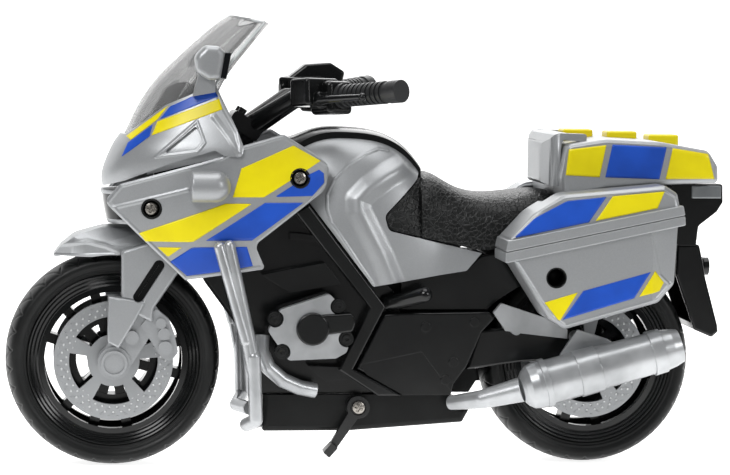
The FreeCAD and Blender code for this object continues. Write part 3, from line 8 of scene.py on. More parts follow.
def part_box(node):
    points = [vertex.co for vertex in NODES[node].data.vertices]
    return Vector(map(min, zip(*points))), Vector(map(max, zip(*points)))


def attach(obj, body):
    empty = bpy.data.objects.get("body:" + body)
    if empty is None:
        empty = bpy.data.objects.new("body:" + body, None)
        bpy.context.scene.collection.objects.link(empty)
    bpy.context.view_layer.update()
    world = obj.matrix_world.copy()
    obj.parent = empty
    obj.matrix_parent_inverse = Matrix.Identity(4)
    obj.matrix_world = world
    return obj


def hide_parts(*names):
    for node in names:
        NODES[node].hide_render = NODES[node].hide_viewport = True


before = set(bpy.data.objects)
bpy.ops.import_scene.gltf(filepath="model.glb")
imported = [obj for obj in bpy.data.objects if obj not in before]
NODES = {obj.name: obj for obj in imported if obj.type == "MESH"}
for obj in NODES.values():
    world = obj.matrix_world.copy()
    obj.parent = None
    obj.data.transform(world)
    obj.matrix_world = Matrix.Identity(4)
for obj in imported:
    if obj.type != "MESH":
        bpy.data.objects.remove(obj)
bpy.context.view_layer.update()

bl_info = {
    "name": "Toy police touring motorcycle",
    "version": (1, 0, 0),
    "blender": (4, 5, 0),
    "location": "3D View > Sidebar > Toy Motorcycle",
    "description": "Finishes, tyres, trim and reflective stickers for a 1:8 moulded-plastic motorcycle",
    "category": "Object",
}

MM = 0.001
PER_METRE = 1000.0
SIDES = ((-1, "left"), (1, "right"))

# ---------------------------------------------------------------- places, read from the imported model


def axle(tyre_node):
    """Centre, radius and half width of a tyre, from its box at rest."""
    low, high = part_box(tyre_node)
    return (low + high) / 2, (high.z - low.z) / 2, (high.y - low.y) / 2


# ---------------------------------------------------------------- colours and shader helpers


def linear(hex_colour):
    """sRGB hex string to the linear RGBA that shader sockets take."""
    parts = [int(hex_colour[i:i + 2], 16) / 255 for i in (1, 3, 5)]
    return tuple(c / 12.92 if c <= 0.04045 else ((c + 0.055) / 1.055) ** 2.4 for c in parts) + (1.0,)


def add(tree, kind, settings=None, links=None):
    """Adds one shader node, sets its fields and inputs, and links inputs to (node, output) pairs."""
    made = tree.nodes.new("ShaderNode" + kind)
    for name, value in (settings or {}).items():
        if isinstance(name, int) or name in made.inputs:
            made.inputs[name].default_value = value
        else:
            setattr(made, name, value)
    for name, (source, output) in (links or {}).items():
        tree.links.new(source.outputs[output], made.inputs[name])
    return made


def start(name):
    """A new material with its tree, its shader and object coordinates."""
    material = bpy.data.materials.new(name)
    material.use_nodes = True
    tree = material.node_tree
    shader = tree.nodes["Principled BSDF"]
    place = add(tree, "TexCoord")
    return material, tree, shader, place


def ramp(tree, source, output, stops):
    """Colour ramp with (position, linear colour) stops, fed from a node's output."""
    made = add(tree, "ValToRGB", links={"Fac": (source, output)})
    elements = made.color_ramp.elements
    while len(elements) < len(stops):
        elements.new(0.5)
    for element, (position, colour) in zip(elements, stops):
        element.position = position
        element.color = colour
    return made


def vary(tree, place, size_mm, detail=3.0):
    """Soft noise whose patches are about size_mm across."""
    return add(tree, "TexNoise", {"Scale": PER_METRE / size_mm, "Detail": detail},
               {"Vector": (place, "Object")})


def between(tree, source, output, low, high):
    """Maps a 0 to 1 value to low..high."""
    return add(tree, "MapRange", {"To Min": low, "To Max": high}, {"Value": (source, output)})


def side_view(tree, place):
    """Place in side view, in millimetres, with the sideways part left out."""
    flatten = (PER_METRE, 0.0, PER_METRE)
    return add(tree, "VectorMath", {"operation": "MULTIPLY", 1: flatten}, {0: (place, "Object")})


def near_line(tree, flat, corners):
    """Distance in millimetres, in side view, to a line through (x, z) corners."""
    nearest = None
    for (x0, z0), (x1, z1) in zip(corners, corners[1:]):
        way = (x1 - x0, 0.0, z1 - z0)
        from_start = add(tree, "VectorMath", {"operation": "SUBTRACT", 1: (x0, 0.0, z0)},
                         {0: (flat, "Vector")})
        along = add(tree, "VectorMath", {"operation": "DOT_PRODUCT", 1: way}, {0: (from_start, "Vector")})
        share = add(tree, "Math", {"operation": "MULTIPLY", "use_clamp": True,
                                   1: 1.0 / (way[0] ** 2 + way[2] ** 2)},
                    {0: (along, "Value")})
        foot = add(tree, "VectorMath", {"operation": "SCALE", 0: way}, {"Scale": (share, "Value")})
        off = add(tree, "VectorMath", {"operation": "SUBTRACT"}, {0: (from_start, "Vector"),
                                                                  1: (foot, "Vector")})
        reach = add(tree, "VectorMath", {"operation": "LENGTH"}, {0: (off, "Vector")})
        if nearest is None:
            nearest = reach
        else:
            nearest = add(tree, "Math", {"operation": "MINIMUM"},
                          {0: (nearest, "Value"), 1: (reach, "Value")})
    return nearest


def relief(tree, place, lines):
    """Height in millimetres of moulded ridges, each as (corners, half width, height), seen from the side."""
    flat = side_view(tree, place)
    total = None
    for corners, half_width, height in lines:
        reach = near_line(tree, flat, corners)
        swell = add(tree, "MapRange", {"interpolation_type": "SMOOTHSTEP", "From Max": half_width,
                                       "To Min": height,
                                       "To Max": 0.0}, {"Value": (reach, "Value")})
        if total is None:
            total = (swell, "Result")
        else:
            both = add(tree, "Math", {"operation": "ADD"}, {0: total, 1: (swell, "Result")})
            total = (both, "Value")
    return total


def plastic(name, body, shade, roughness, bump_mm, bump_depth, metallic=0.0, specular=0.5, coat=0.0,
            edge_mm=0.0):
    """Moulded plastic or paint: two close colours in soft patches, worn gloss and a fine ripple."""
    material, tree, shader, place = start(name)
    patches = vary(tree, place, 14.0)
    colour = ramp(tree, patches, "Fac", ((0.35, linear(shade)), (0.65, linear(body))))
    tree.links.new(colour.outputs["Color"], shader.inputs["Base Color"])
    handling = vary(tree, place, 5.0, 6.0)
    gloss = between(tree, handling, "Fac", roughness * 0.82, roughness * 1.22)
    tree.links.new(gloss.outputs["Result"], shader.inputs["Roughness"])
    ripple = vary(tree, place, bump_mm, 2.0)
    bump = add(tree, "Bump", {"Strength": bump_depth, "Distance": 0.1 * MM}, {"Height": (ripple, "Fac")})
    if edge_mm:
        rounded = add(tree, "Bevel", {"samples": 4, "Radius": edge_mm * MM})
        tree.links.new(rounded.outputs["Normal"], bump.inputs["Normal"])
    tree.links.new(bump.outputs["Normal"], shader.inputs["Normal"])
    shader.inputs["Metallic"].default_value = metallic
    shader.inputs["Specular IOR Level"].default_value = specular
    shader.inputs["Coat Weight"].default_value = coat
    shader.inputs["Coat Roughness"].default_value = 0.08
    return material


# ---------------------------------------------------------------- sizes and colours a user would change


class MotorcycleLooks(bpy.types.PropertyGroup):
    """Colours and small sizes of the visual model."""

    silver: bpy.props.StringProperty(name="Silver paint", description="Body colour of the painted panels",
                                     default="#A9ABAD")
    bright: bpy.props.StringProperty(name="Bright silver", description="Pipes, crash bars, head covers and brackets",
                                     default="#C2C4C6")
    black: bpy.props.StringProperty(name="Black", description="Glossy black mouldings", default="#101111")
    yellow: bpy.props.StringProperty(name="Sticker yellow", description="Yellow of stickers and buttons",
                                     default="#EBDB06")
    blue: bpy.props.StringProperty(name="Sticker blue", description="Blue of the stickers", default="#1C52C0")
    tread_depth: bpy.props.FloatProperty(name="Tread depth", description="Depth of the tyre's grooves",
                                         default=0.4 * MM,
                                         min=0.0, unit="LENGTH", precision=5)
    tread_count: bpy.props.IntProperty(name="Tread blocks", description="Grooves on each side of a tyre",
                                       default=34, min=8)
    edge_round: bpy.props.FloatProperty(name="Edge rounding", description="Radius on moulded edges",
                                        default=0.22 * MM,
                                        min=0.0, unit="LENGTH", precision=5)
    sticker_thick: bpy.props.FloatProperty(name="Sticker thickness", description="Thickness of the stickers",
                                           default=0.12 * MM, min=0.0, unit="LENGTH", precision=5)


def looks():
    """The colours and sizes the user has set."""
    return bpy.context.scene.motorcycle_looks


# ---------------------------------------------------------------- materials


# Moulded ridges in side view: (x, z) corners in millimetres, half width and height.
TANK_LINES = (
    (((13.0, 117.4), (6.7, 114.2), (-1.0, 109.1), (-5.4, 104.6), (-5.1, 100.1), (-0.8, 91.8), (3.8, 82.9),
      (7.8, 73.2)),
     5.5, 1.6),
    (((7.2, 123.1), (3.3, 123.8), (-2.4, 121.8), (-8.8, 117.9), (-14.5, 112.2), (-17.3, 106.4),
      (-17.2, 100.7),
      (-15.6, 95.6), (-11.0, 89.2), (-5.1, 80.3), (0.7, 72.0)), 0.9, 0.3),
)
NOSE_LINES = (
    (((-61.4, 149.0), (-57.4, 139.6), (-52.2, 130.4), (-50.6, 122.0)), 1.5, 0.45),
    (((-61.0, 136.0), (-55.2, 128.2), (-51.8, 122.6)), 1.6, 0.35),
    (((-82.8, 120.6), (-67.4, 134.2), (-64.6, 126.2), (-67.4, 122.8), (-82.8, 120.6)), 0.9, 0.22),
)
FAIRING_LINES = (
    (((-99.2, 101.0), (-71.0, 108.4)), 1.2, 0.25),
    (((-100.6, 103.2), (-95.6, 109.4), (-58.4, 120.0), (-51.0, 124.0), (-34.8, 128.6), (-17.8, 117.6),
      (-18.6, 111.4),
      (-24.2, 104.2), (-44.4, 88.4), (-42.4, 79.2), (-71.4, 74.8), (-100.6, 103.2)), 0.9, 0.3),
)
MUDGUARD_LINES = ((((-119.0, 86.0), (-108.4, 87.6), (-100.8, 85.8), (-95.4, 83.4)), 1.4, 0.5),
                  (((-121.0, 81.8), (-96.0, 82.8)), 0.8, 0.25))
CASE_LINES = (
    (((103.7, 93.8), (107.6, 78.0), (111.8, 74.1)), 0.8, 0.2),
    (((51.6, 83.4), (65.4, 62.6), (71.2, 58.8), (106.4, 68.8), (112.6, 74.8)), 0.9, 0.25),
    (((49.8, 92.0), (59.0, 101.4), (70.0, 107.0), (108.2, 110.4), (112.6, 107.8)), 0.9, 0.25),
)
BOX_LINES = ((((73.4, 107.0), (73.2, 114.0), (75.0, 125.4), (89.0, 127.6), (110.0, 126.6), (129.0, 123.4),
               (132.0, 118.4), (132.4, 113.2)), 0.8, 0.25),)


# Flake of about 0.05 mm is too fine to show, so it is drawn larger.
FLAKE_MM = 0.35
SEAT_CELL_MM = 1.9


def painted_silver_abs(name, lines=()):
    """Silver-painted ABS: a soft metallic sheen with fine flake, orange-peel ripple and moulded ridges."""
    material, tree, shader, place = start(name)
    flake = add(tree, "TexVoronoi", {"Scale": PER_METRE / FLAKE_MM}, {"Vector": (place, "Object")})
    tone = ramp(tree, flake, "Color", ((0.0, linear("#A2A4A6")), (1.0, linear(looks().silver))))
    tree.links.new(tone.outputs["Color"], shader.inputs["Base Color"])
    handling = vary(tree, place, 9.0, 5.0)
    gloss = between(tree, handling, "Fac", 0.33, 0.42)
    tree.links.new(gloss.outputs["Result"], shader.inputs["Roughness"])
    peel = vary(tree, place, 1.6, 2.0)
    bump = add(tree, "Bump", {"Strength": 0.12, "Distance": 0.1 * MM}, {"Height": (peel, "Fac")})
    if lines:
        bump = add(tree, "Bump", {"Strength": 1.0, "Distance": MM}, {"Height": relief(tree, place, lines),
                                                                     "Normal": (bump, "Normal")})
    tree.links.new(bump.outputs["Normal"], shader.inputs["Normal"])
    shader.inputs["Metallic"].default_value = 0.5
    return material


def metallised_plastic(name, edge_mm=0.0):
    """Plastic with a bright silver coat: smooth, whiter than the paint, a little soft in its reflections."""
    return plastic(name, looks().bright, "#A6A8AA", 0.3, 2.5, 0.10, metallic=0.62, edge_mm=edge_mm)


def spoke_from(tree, place, centre_x, centre_z):
    """Way from a sideways axis, at x and z in millimetres, to the point, and its length."""
    flat = side_view(tree, place)
    spoke = add(tree, "VectorMath", {"operation": "SUBTRACT", 1: (centre_x, 0.0, centre_z)},
                {0: (flat, "Vector")})
    return spoke, add(tree, "VectorMath", {"operation": "LENGTH"}, {0: (spoke, "Vector")})


# Rings turned into the rims: middle of their band, half its width, and half the step between rings.
RIM_BAND, RIM_BAND_HALF, RIM_RING_HALF = 30.6, 2.1, 0.7
# Raised dots of the brake discs: dots to a ring, the steps between rings and between dots, and their band.
DISC_DOTS, DISC_RING_STEP, DISC_DOT_STEP = 40, 1.9, 2.8
DISC_BAND, DISC_BAND_HALF = 18.9, 2.7
DOT_TOP, DOT_FOOT = 0.3, 0.55


def ringed_black_abs(name, centre_x, centre_z):
    """Glossy black rim with fine rings near its edge, which catch the light as thin circles."""
    material = plastic(name, looks().black, "#08090A", 0.16, 3.0, 0.10, specular=0.35)
    tree = material.node_tree
    shader = tree.nodes["Principled BSDF"]
    place = add(tree, "TexCoord")
    reach = spoke_from(tree, place, centre_x, centre_z)[1]
    wave = add(tree, "Math", {"operation": "PINGPONG", 1: RIM_RING_HALF}, {0: (reach, "Value")})
    outer = add(tree, "Math", {"operation": "COMPARE", 1: RIM_BAND, 2: RIM_BAND_HALF}, {0: (reach, "Value")})
    height = add(tree, "Math", {"operation": "MULTIPLY"}, {0: (wave, "Value"), 1: (outer, "Value")})
    bump = add(tree, "Bump", {"Strength": 0.7, "Distance": MM}, {"Height": (height, "Value")})
    tree.links.new(bump.outputs["Normal"], shader.inputs["Normal"])
    return material


def dotted_metal(name, centre_x, centre_z):
    """Bright silver brake disc with rings of small raised dots about the axle, at x and z in millimetres. The dots
    are painted lighter than the disc, a painted highlight where they catch the light.
    """
    material, tree, shader, place = start(name)
    spoke, reach = spoke_from(tree, place, centre_x, centre_z)
    parts = add(tree, "SeparateXYZ", {}, {0: (spoke, "Vector")})
    angle = add(tree, "Math", {"operation": "ARCTAN2"}, {0: (parts, "Z"), 1: (parts, "X")})
    # Each ring is turned by half a step from the one inside it.
    ring = add(tree, "Math", {"operation": "DIVIDE", 1: DISC_RING_STEP}, {0: (reach, "Value")})
    whole = add(tree, "Math", {"operation": "FLOOR"}, {0: (ring, "Value")})
    count = add(tree, "Math", {"operation": "MULTIPLY", 1: DISC_DOTS / (2 * math.pi)}, {0: (angle, "Value")})
    step = add(tree, "Math", {"operation": "MULTIPLY_ADD", 1: 0.5},
               {0: (whole, "Value"), 2: (count, "Value")})
    along, out = (add(tree, "Math", {"operation": "PINGPONG", 1: 0.5}, {0: (source, "Value")})
                  for source in (step, ring))
    turned = add(tree, "Math", {"operation": "MULTIPLY", 1: DISC_DOT_STEP}, {0: (along, "Value")})
    rise = add(tree, "Math", {"operation": "SUBTRACT", 0: 0.5}, {1: (out, "Value")})
    drop = add(tree, "Math", {"operation": "MULTIPLY", 1: DISC_RING_STEP}, {0: (rise, "Value")})
    away = add(tree, "CombineXYZ", {}, {"X": (turned, "Value"), "Y": (drop, "Value")})
    off = add(tree, "VectorMath", {"operation": "LENGTH"}, {0: (away, "Vector")})
    dot = add(tree, "MapRange", {"interpolation_type": "SMOOTHSTEP", "From Min": DOT_TOP,
                                 "From Max": DOT_FOOT},
              {"Value": (off, "Value")})
    inside = add(tree, "Math", {"operation": "COMPARE", 1: DISC_BAND, 2: DISC_BAND_HALF},
                 {0: (reach, "Value")})
    flat = add(tree, "Math", {"operation": "SUBTRACT", 0: 1.0}, {1: (inside, "Value")})
    level = add(tree, "Math", {"operation": "MAXIMUM"}, {0: (dot, "Result"), 1: (flat, "Value")})
    # Dots painted lighter than the disc around them: painted highlight on the raised dots.
    tone = ramp(tree, level, "Value", ((0.0, linear("#D6D8D9")), (1.0, linear("#A0A2A4"))))
    tree.links.new(tone.outputs["Color"], shader.inputs["Base Color"])
    bump = add(tree, "Bump", {"Strength": 1.0, "Distance": 0.3 * MM, "invert": True},
               {"Height": (level, "Value")})
    tree.links.new(bump.outputs["Normal"], shader.inputs["Normal"])
    gloss = between(tree, vary(tree, place, 7.0), "Fac", 0.3, 0.42)
    tree.links.new(gloss.outputs["Result"], shader.inputs["Roughness"])
    shader.inputs["Metallic"].default_value = 0.55
    return material


def black_polished_abs():
    """Black ABS from a polished mould: deep gloss, faint flow marks."""
    return plastic("black polished ABS", looks().black, "#08090A", 0.2, 3.0, 0.10, specular=0.45, edge_mm=0.3)


def black_satin_abs():
    """Black ABS from a spark-eroded mould: satin, with a fine even texture."""
    return plastic("black satin ABS", "#111212", "#0B0C0C", 0.36, 0.7, 0.3, specular=0.22, edge_mm=0.2)


def tyre_pvc():
    """Soft black PVC of the tyres: matte, with a fine grain."""
    return plastic("black soft PVC", "#161717", "#0B0C0C", 0.4, 0.8, 0.4, specular=0.28)


def grained_vinyl():
    """Black vinyl-like seat moulding: raised worm-like wrinkles that catch the light, with a painted highlight of
    lighter grey along them.
    """
    material, tree, shader, place = start("black grained vinyl")
    drift = vary(tree, place, 2.6, 3.0)
    push = add(tree, "VectorMath", {"operation": "SCALE", "Scale": 1.2 * MM}, {0: (drift, "Color")})
    moved = add(tree, "VectorMath", {"operation": "ADD"}, {0: (place, "Object"), 1: (push, "Vector")})
    cells = add(tree, "TexVoronoi", {"feature": "DISTANCE_TO_EDGE", "Scale": PER_METRE / SEAT_CELL_MM},
                {"Vector": (moved, "Vector")})
    # The wrinkles are painted lighter grey than the black between them: a painted highlight where they catch the
    # light.
    colour = ramp(tree, cells, "Distance", ((0.0, linear("#242525")), (0.10, linear("#121313")),
                                            (0.5, linear("#0B0C0C"))))
    tree.links.new(colour.outputs["Color"], shader.inputs["Base Color"])
    wrinkle = add(tree, "MapRange", {"interpolation_type": "SMOOTHSTEP", "From Max": 0.16, "To Min": 1.0,
                                     "To Max": 0.0},
                  {"Value": (cells, "Distance")})
    patchy = add(tree, "Math", {"operation": "MULTIPLY"},
                 {0: (wrinkle, "Result"), 1: (vary(tree, place, 4.0), "Fac")})
    bump = add(tree, "Bump", {"Strength": 0.9, "Distance": 0.5 * MM}, {"Height": (patchy, "Value")})
    tree.links.new(bump.outputs["Normal"], shader.inputs["Normal"])
    gloss = between(tree, cells, "Distance", 0.34, 0.55)
    tree.links.new(gloss.outputs["Result"], shader.inputs["Roughness"])
    shader.inputs["Specular IOR Level"].default_value = 0.3
    return material


def grip_rubber():
    """Ribbed grips: dull dark grey elastomer."""
    return plastic("dark grey elastomer", "#2C2D2E", "#202122", 0.45, 0.9, 0.4)


def clear_polystyrene():
    """Clear polystyrene screen: greyish, slightly milky, with faint moulding ripple."""
    material, tree, shader, place = start("clear polystyrene")
    shader.inputs["Base Color"].default_value = linear("#CBCBCB")
    milk = between(tree, vary(tree, place, 30.0, 1.0), "Fac", 0.74, 0.92)
    tree.links.new(milk.outputs["Result"], shader.inputs["Transmission Weight"])
    shader.inputs["IOR"].default_value = 1.25
    ripple = vary(tree, place, 18.0, 1.0)
    bump = add(tree, "Bump", {"Strength": 0.05, "Distance": 0.2 * MM}, {"Height": (ripple, "Fac")})
    tree.links.new(bump.outputs["Normal"], shader.inputs["Normal"])
    haze = between(tree, vary(tree, place, 6.0), "Fac", 0.05, 0.13)
    tree.links.new(haze.outputs["Result"], shader.inputs["Roughness"])
    return material


def frosted_edge():
    """Edge bead of the screen: the same plastic, whiter where it is thick."""
    return plastic("frosted polystyrene", "#D6D9DA", "#C6CACB", 0.22, 2.0, 0.1, coat=0.2)


def smoked_lens():
    """Dark smoked polystyrene over the headlight: near black, very glossy."""
    return plastic("smoked polystyrene", "#08090B", "#0B0D10", 0.08, 4.0, 0.05)


def grey_lens():
    """Grey tail-lamp lens: satin clear plastic over silver."""
    return plastic("grey polystyrene", "#8F9294", "#7C8082", 0.2, 2.0, 0.25, metallic=0.25)


def yellow_abs():
    """Yellow ABS of the push buttons: bright and glossy."""
    return plastic("yellow ABS", looks().yellow, "#E8CF00", 0.3, 2.0, 0.12)


def sticker_film(name, colour, shade):
    """Printed vinyl film: flat strong colour under a thin gloss laminate."""
    return plastic(name, colour, shade, 0.32, 6.0, 0.05, specular=0.4)


def zinc_steel():
    """Zinc-plated screws, darkened in their wells."""
    return plastic("zinc-plated steel", "#B4AFA8", "#7C7872", 0.25, 0.6, 0.3, metallic=0.9)


def turned_steel():
    """Turned steel of the flywheel, axles and cells."""
    return plastic("turned steel", "#A9ABAC", "#8E9091", 0.25, 0.5, 0.2, metallic=1.0)


def acetal():
    """Natural acetal gears: milky white, waxy."""
    return plastic("natural acetal", "#E9E6DC", "#DDD9CC", 0.38, 1.5, 0.15)


def board_laminate():
    """Green solder mask on glass-epoxy board."""
    return plastic("green solder mask", "#14613A", "#0F5230", 0.3, 1.0, 0.2)


RIDGED_PANELS = (
    (("tank_cover_right", "tank_cover_left"), "silver painted ABS, tank", TANK_LINES),
    (("nose_cowl",), "silver painted ABS, nose", NOSE_LINES),
    (("side_fairing_right", "side_fairing_left"), "silver painted ABS, side panel", FAIRING_LINES),
    (("front_mudguard",), "silver painted ABS, mudguard", MUDGUARD_LINES),
    (("pannier_tubs", "pannier_lids"), "silver painted ABS, side case", CASE_LINES),
    (("topbox",), "silver painted ABS, top box", BOX_LINES),
    (("turn_signals", "headlight_surround", "mirror_housings", "backrest", "fork_legs"),
     "silver painted ABS, small parts", ()),
)
BRIGHT_FLAT = ("head_covers", "pannier_brackets")
BRIGHT_ROUND = ("header_pipes", "muffler", "crash_bars")
GLOSS_BLACK = ("side_frame_right", "side_frame_left", "gear_case_cover", "cylinders", "tank_top",
               "tail_frame",
               "mud_flap", "handlebar", "side_stand", "dashboard")
SATIN_BLACK = ("chassis_right", "chassis_left", "belly_pan", "battery_cover", "fork_bridge", "topbox_tray")
EDGED = ("topbox", "pannier_tubs", "pannier_lids", "front_mudguard", "headlight_surround", "backrest",
         "head_covers",
         "pannier_brackets", "fork_legs", "belly_pan", "button_1", "button_2", "button_3", "tail_lamp")


WELD_MM = 0.002
SHARP_DEGREES = 35


def dress(node_names, material):
    """Gives CAD nodes one material in all their slots."""
    for name in node_names:
        for slot in NODES[name].material_slots:
            slot.link = "OBJECT"
            slot.material = material


def soften_edges(node_names, width):
    """Welds a node's loose triangles in the modifier stack, then rounds its sharp edges."""
    for name in node_names:
        node = NODES[name]
        weld = node.modifiers.new("weld", "WELD")
        weld.merge_threshold = WELD_MM * MM
        bevel = node.modifiers.new("moulded edge", "BEVEL")
        bevel.width = width
        bevel.segments = 2
        bevel.limit_method = "ANGLE"
        bevel.angle_limit = math.radians(SHARP_DEGREES)
        bevel.harden_normals = True
        bevel.use_clamp_overlap = True


# ---------------------------------------------------------------- numpy surfaces


def grid_faces(rows, columns, wrap_rows=False, wrap_columns=False):
    """Quads of a rows x columns grid of points, joined round where a direction wraps."""
    r = np.arange(rows if wrap_rows else rows - 1)
    c = np.arange(columns if wrap_columns else columns - 1)
    r, c = (a.ravel() for a in np.meshgrid(r, c, indexing="ij"))
    r2, c2 = (r + 1) % rows, (c + 1) % columns
    return np.stack([r * columns + c, r2 * columns + c, r2 * columns + c2, r * columns + c2], axis=1)


def piece(name, points, faces, material, body):
    """Puts points and quads into a new object, gives it its material and lets it ride on a body."""
    mesh = bpy.data.meshes.new(name)
    mesh.from_pydata(points.reshape(-1, 3).tolist(), [], faces.tolist())
    mesh.polygons.foreach_set("use_smooth", np.full(len(faces), True))
    mesh.update()
    made = bpy.data.objects.new(name, mesh)
    bpy.context.scene.collection.objects.link(made)
    made.data.materials.append(material)
    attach(made, body)
    return made


def fade(value, width):
    """0 where the value is negative, 1 from the width on, straight between."""
    return np.clip(value / width, 0, 1)


# Points round a tyre, and the share of its radius from which the tread is cut.
TYRE_STEPS = 1080
TREAD_FROM = 0.905
# Inner lip and sidewall of a tyre as (share of half width, share of radius).
TYRE_LIP = [(-0.62, 0.775), (-0.72, 0.775), (-0.80, 0.785), (-0.82, 0.80), (-0.85, 0.808), (-0.88, 0.812),
            (-0.86, 0.818), (-0.90, 0.828), (-0.94, 0.838), (-0.92, 0.846), (-0.965, 0.862), (-0.99, 0.88),
            (-1.0, 0.90)]


def tyre_surface(node):
    """Tyre turned about its axle, with a ringed sidewall that swells into a crown. The radius drops by the
    tread depth where one of two slanted bands, repeated round the tyre, crosses the tread."""
    centre, radius, half = axle(node)
    turn = np.linspace(0, 2 * math.pi, TYRE_STEPS, endpoint=False)
    shoulder_angles = np.linspace(0.12, 1, 16) * math.pi / 2
    crown = [(-math.cos(a) ** 0.85, 0.90 + 0.10 * math.sin(a) ** 0.9) for a in shoulder_angles]
    left = np.array(TYRE_LIP + crown)
    right = left[-2::-1] * np.array([-1.0, 1.0])
    profile = np.concatenate([left, right])
    across, out = profile[:, 0], profile[:, 1]
    t, w = np.meshgrid(turn, across, indexing="ij")
    r = np.broadcast_to(out, t.shape) * radius
    chosen = looks()
    out_from_middle = np.abs(w)
    on_tread = r > TREAD_FROM * radius
    other_half = np.where(w > 0, 0.5, 0.0)
    blocks = t * chosen.tread_count / (2 * math.pi)
    slant = (blocks + other_half + 1.1 * out_from_middle) % 1.0
    groove = fade(0.075 - np.abs(slant - 0.5), 0.035)
    groove_reach = fade(out_from_middle - 0.16, 0.06) * fade(0.97 - out_from_middle, 0.05) * on_tread
    counter_slant = (blocks + other_half + 0.5 - 0.5 * out_from_middle) % 1.0
    nick = fade(0.06 - np.abs(counter_slant - 0.5), 0.03)
    nick_reach = fade(out_from_middle - 0.55, 0.06) * fade(0.95 - out_from_middle, 0.05) * on_tread
    r = r - chosen.tread_depth * np.maximum(groove * groove_reach, nick * nick_reach)
    points = np.stack([centre.x + r * np.cos(t), centre.y + w * half, centre.z + r * np.sin(t)], axis=-1)
    return points, grid_faces(len(turn), len(across), wrap_rows=True)[:, ::-1]


def resample(corners, count):
    """Points spaced evenly along a polyline."""
    corners = np.asarray(corners, float)
    steps = np.linalg.norm(np.diff(corners, axis=0), axis=1)
    reach = np.concatenate([[0], np.cumsum(steps)])
    at = np.linspace(0, reach[-1], count)
    return np.stack([np.interp(at, reach, corners[:, k]) for k in range(corners.shape[1])], axis=1)


PATCH_LIFT = 0.3


def ruled_patch(upper, lower, depth, side, columns, rows):
    """Patch in side view, straight from each point of the lower line to the one above it on the upper line,
    a little outside the sideways place that depth(x, z) gives."""
    top, foot = resample(upper, columns), resample(lower, columns)
    up = np.linspace(0, 1, rows)[:, None, None]
    flat = foot[None] * (1 - up) + top[None] * up
    across = side * (depth(flat[..., 0], flat[..., 1]) + PATCH_LIFT)
    points = np.stack([flat[..., 0], across, flat[..., 1]], axis=-1) * MM
    faces = grid_faces(rows, columns)
    return points, faces if side > 0 else faces[:, ::-1]


def fairing_depth(x, z):
    """Half width of the side panel in millimetres: a shallow bowl about its middle."""
    return 33.0 - 0.0036 * (x + 50) ** 2 - 0.0035 * (z - 105) ** 2


def nose_depth(x, z):
    """Half width of the nose: a rounded plan whose front and width change with height."""
    heights = (104.0, 110.0, 115.0, 120.0, 125.0, 130.0, 136.0, 143.0, 152.0)
    front = np.interp(z, heights, (-101.6, -102.6, -102.2, -100.4, -98.0, -94.4, -90.4, -86.0, -80.0))
    half = np.interp(z, heights, (26.5, 29.6, 32.0, 33.3, 32.8, 30.9, 28.9, 27.2, 25.6))
    back = np.clip((-44.0 - x) / (-44.0 - front), 0.0, 0.999)
    return half * (1 - back ** 2.5) ** 0.4


def box_depth(x, z):
    """Flat side of the top box."""
    return np.full(np.shape(x), 34.0)


def lamp_depth(x, z):
    """Flat side of the tail lamp."""
    return np.full(np.shape(x), 19.0)


def flange_depth(x, z):
    """Side of the flange, set in from the nose above it."""
    return nose_depth(x, z) - 2.4


def case_depth(x, z):
    """Flat side of the side case."""
    return np.full(np.shape(x), 50.0)


def tub_depth(x, z):
    """Side of the side case's tub, whose rear corner is cut back by 24 degrees."""
    return 50.0 - np.clip(x - 104.4, 0, None) * math.tan(math.radians(24))


# Places in millimetres, (x, z) in side view unless said otherwise.
# Flange that closes the slot between the nose and the side panel.
FLANGE_TOP = ((-86.0, 119.4), (-79.5, 121.6), (-70.0, 124.6), (-60.5, 127.4))
FLANGE_FOOT = ((-86.0, 113.6), (-77.0, 116.0), (-64.0, 119.4), (-57.0, 121.2))
LAMP_TOP = ((126.4, 110.4), (138.2, 110.4))
LAMP_FOOT = ((126.4, 105.4), (138.2, 105.4))
# Screw of the side stand: x, z and the sideways place of its face.
STAND_SCREW = (-4.4, 24.6, 26.35)
FAIRING_SCREWS = ((-84.4, 101.0), (-28.3, 113.0))
SCREW_RECESS = 1.45
STICKER_HOLE_RADIUS = 3.5
KEYHOLE = (67.4, 76.9)
# Slot in each fork leg: its two ends, the radius of its round ends and its sideways place.
FORK_SLOT = ((-88.9, 67.1), (-81.2, 79.1), 2.08, 21.6)
SCREEN_BEAD_RADIUS = 0.55
# Profiles of the liners as (radius, height above the panel) pairs. The keyhole's profile runs deep and closes into a
# black floor: a painted shadow over the screw that sits deep in the hole.
WELL_PROFILE = ((3.95, 0.02), (3.85, 0.24), (3.45, 0.26), (3.2, 0.0), (3.15, -1.0), (3.12, -2.5),
                (2.2, -2.55))
KEYHOLE_SHADOW_PROFILE = ((3.95, 0.02), (3.85, 0.16), (3.5, 0.12), (3.36, -0.2), (3.32, -5.0), (3.3, -9.4),
                   (0.05, -9.5))

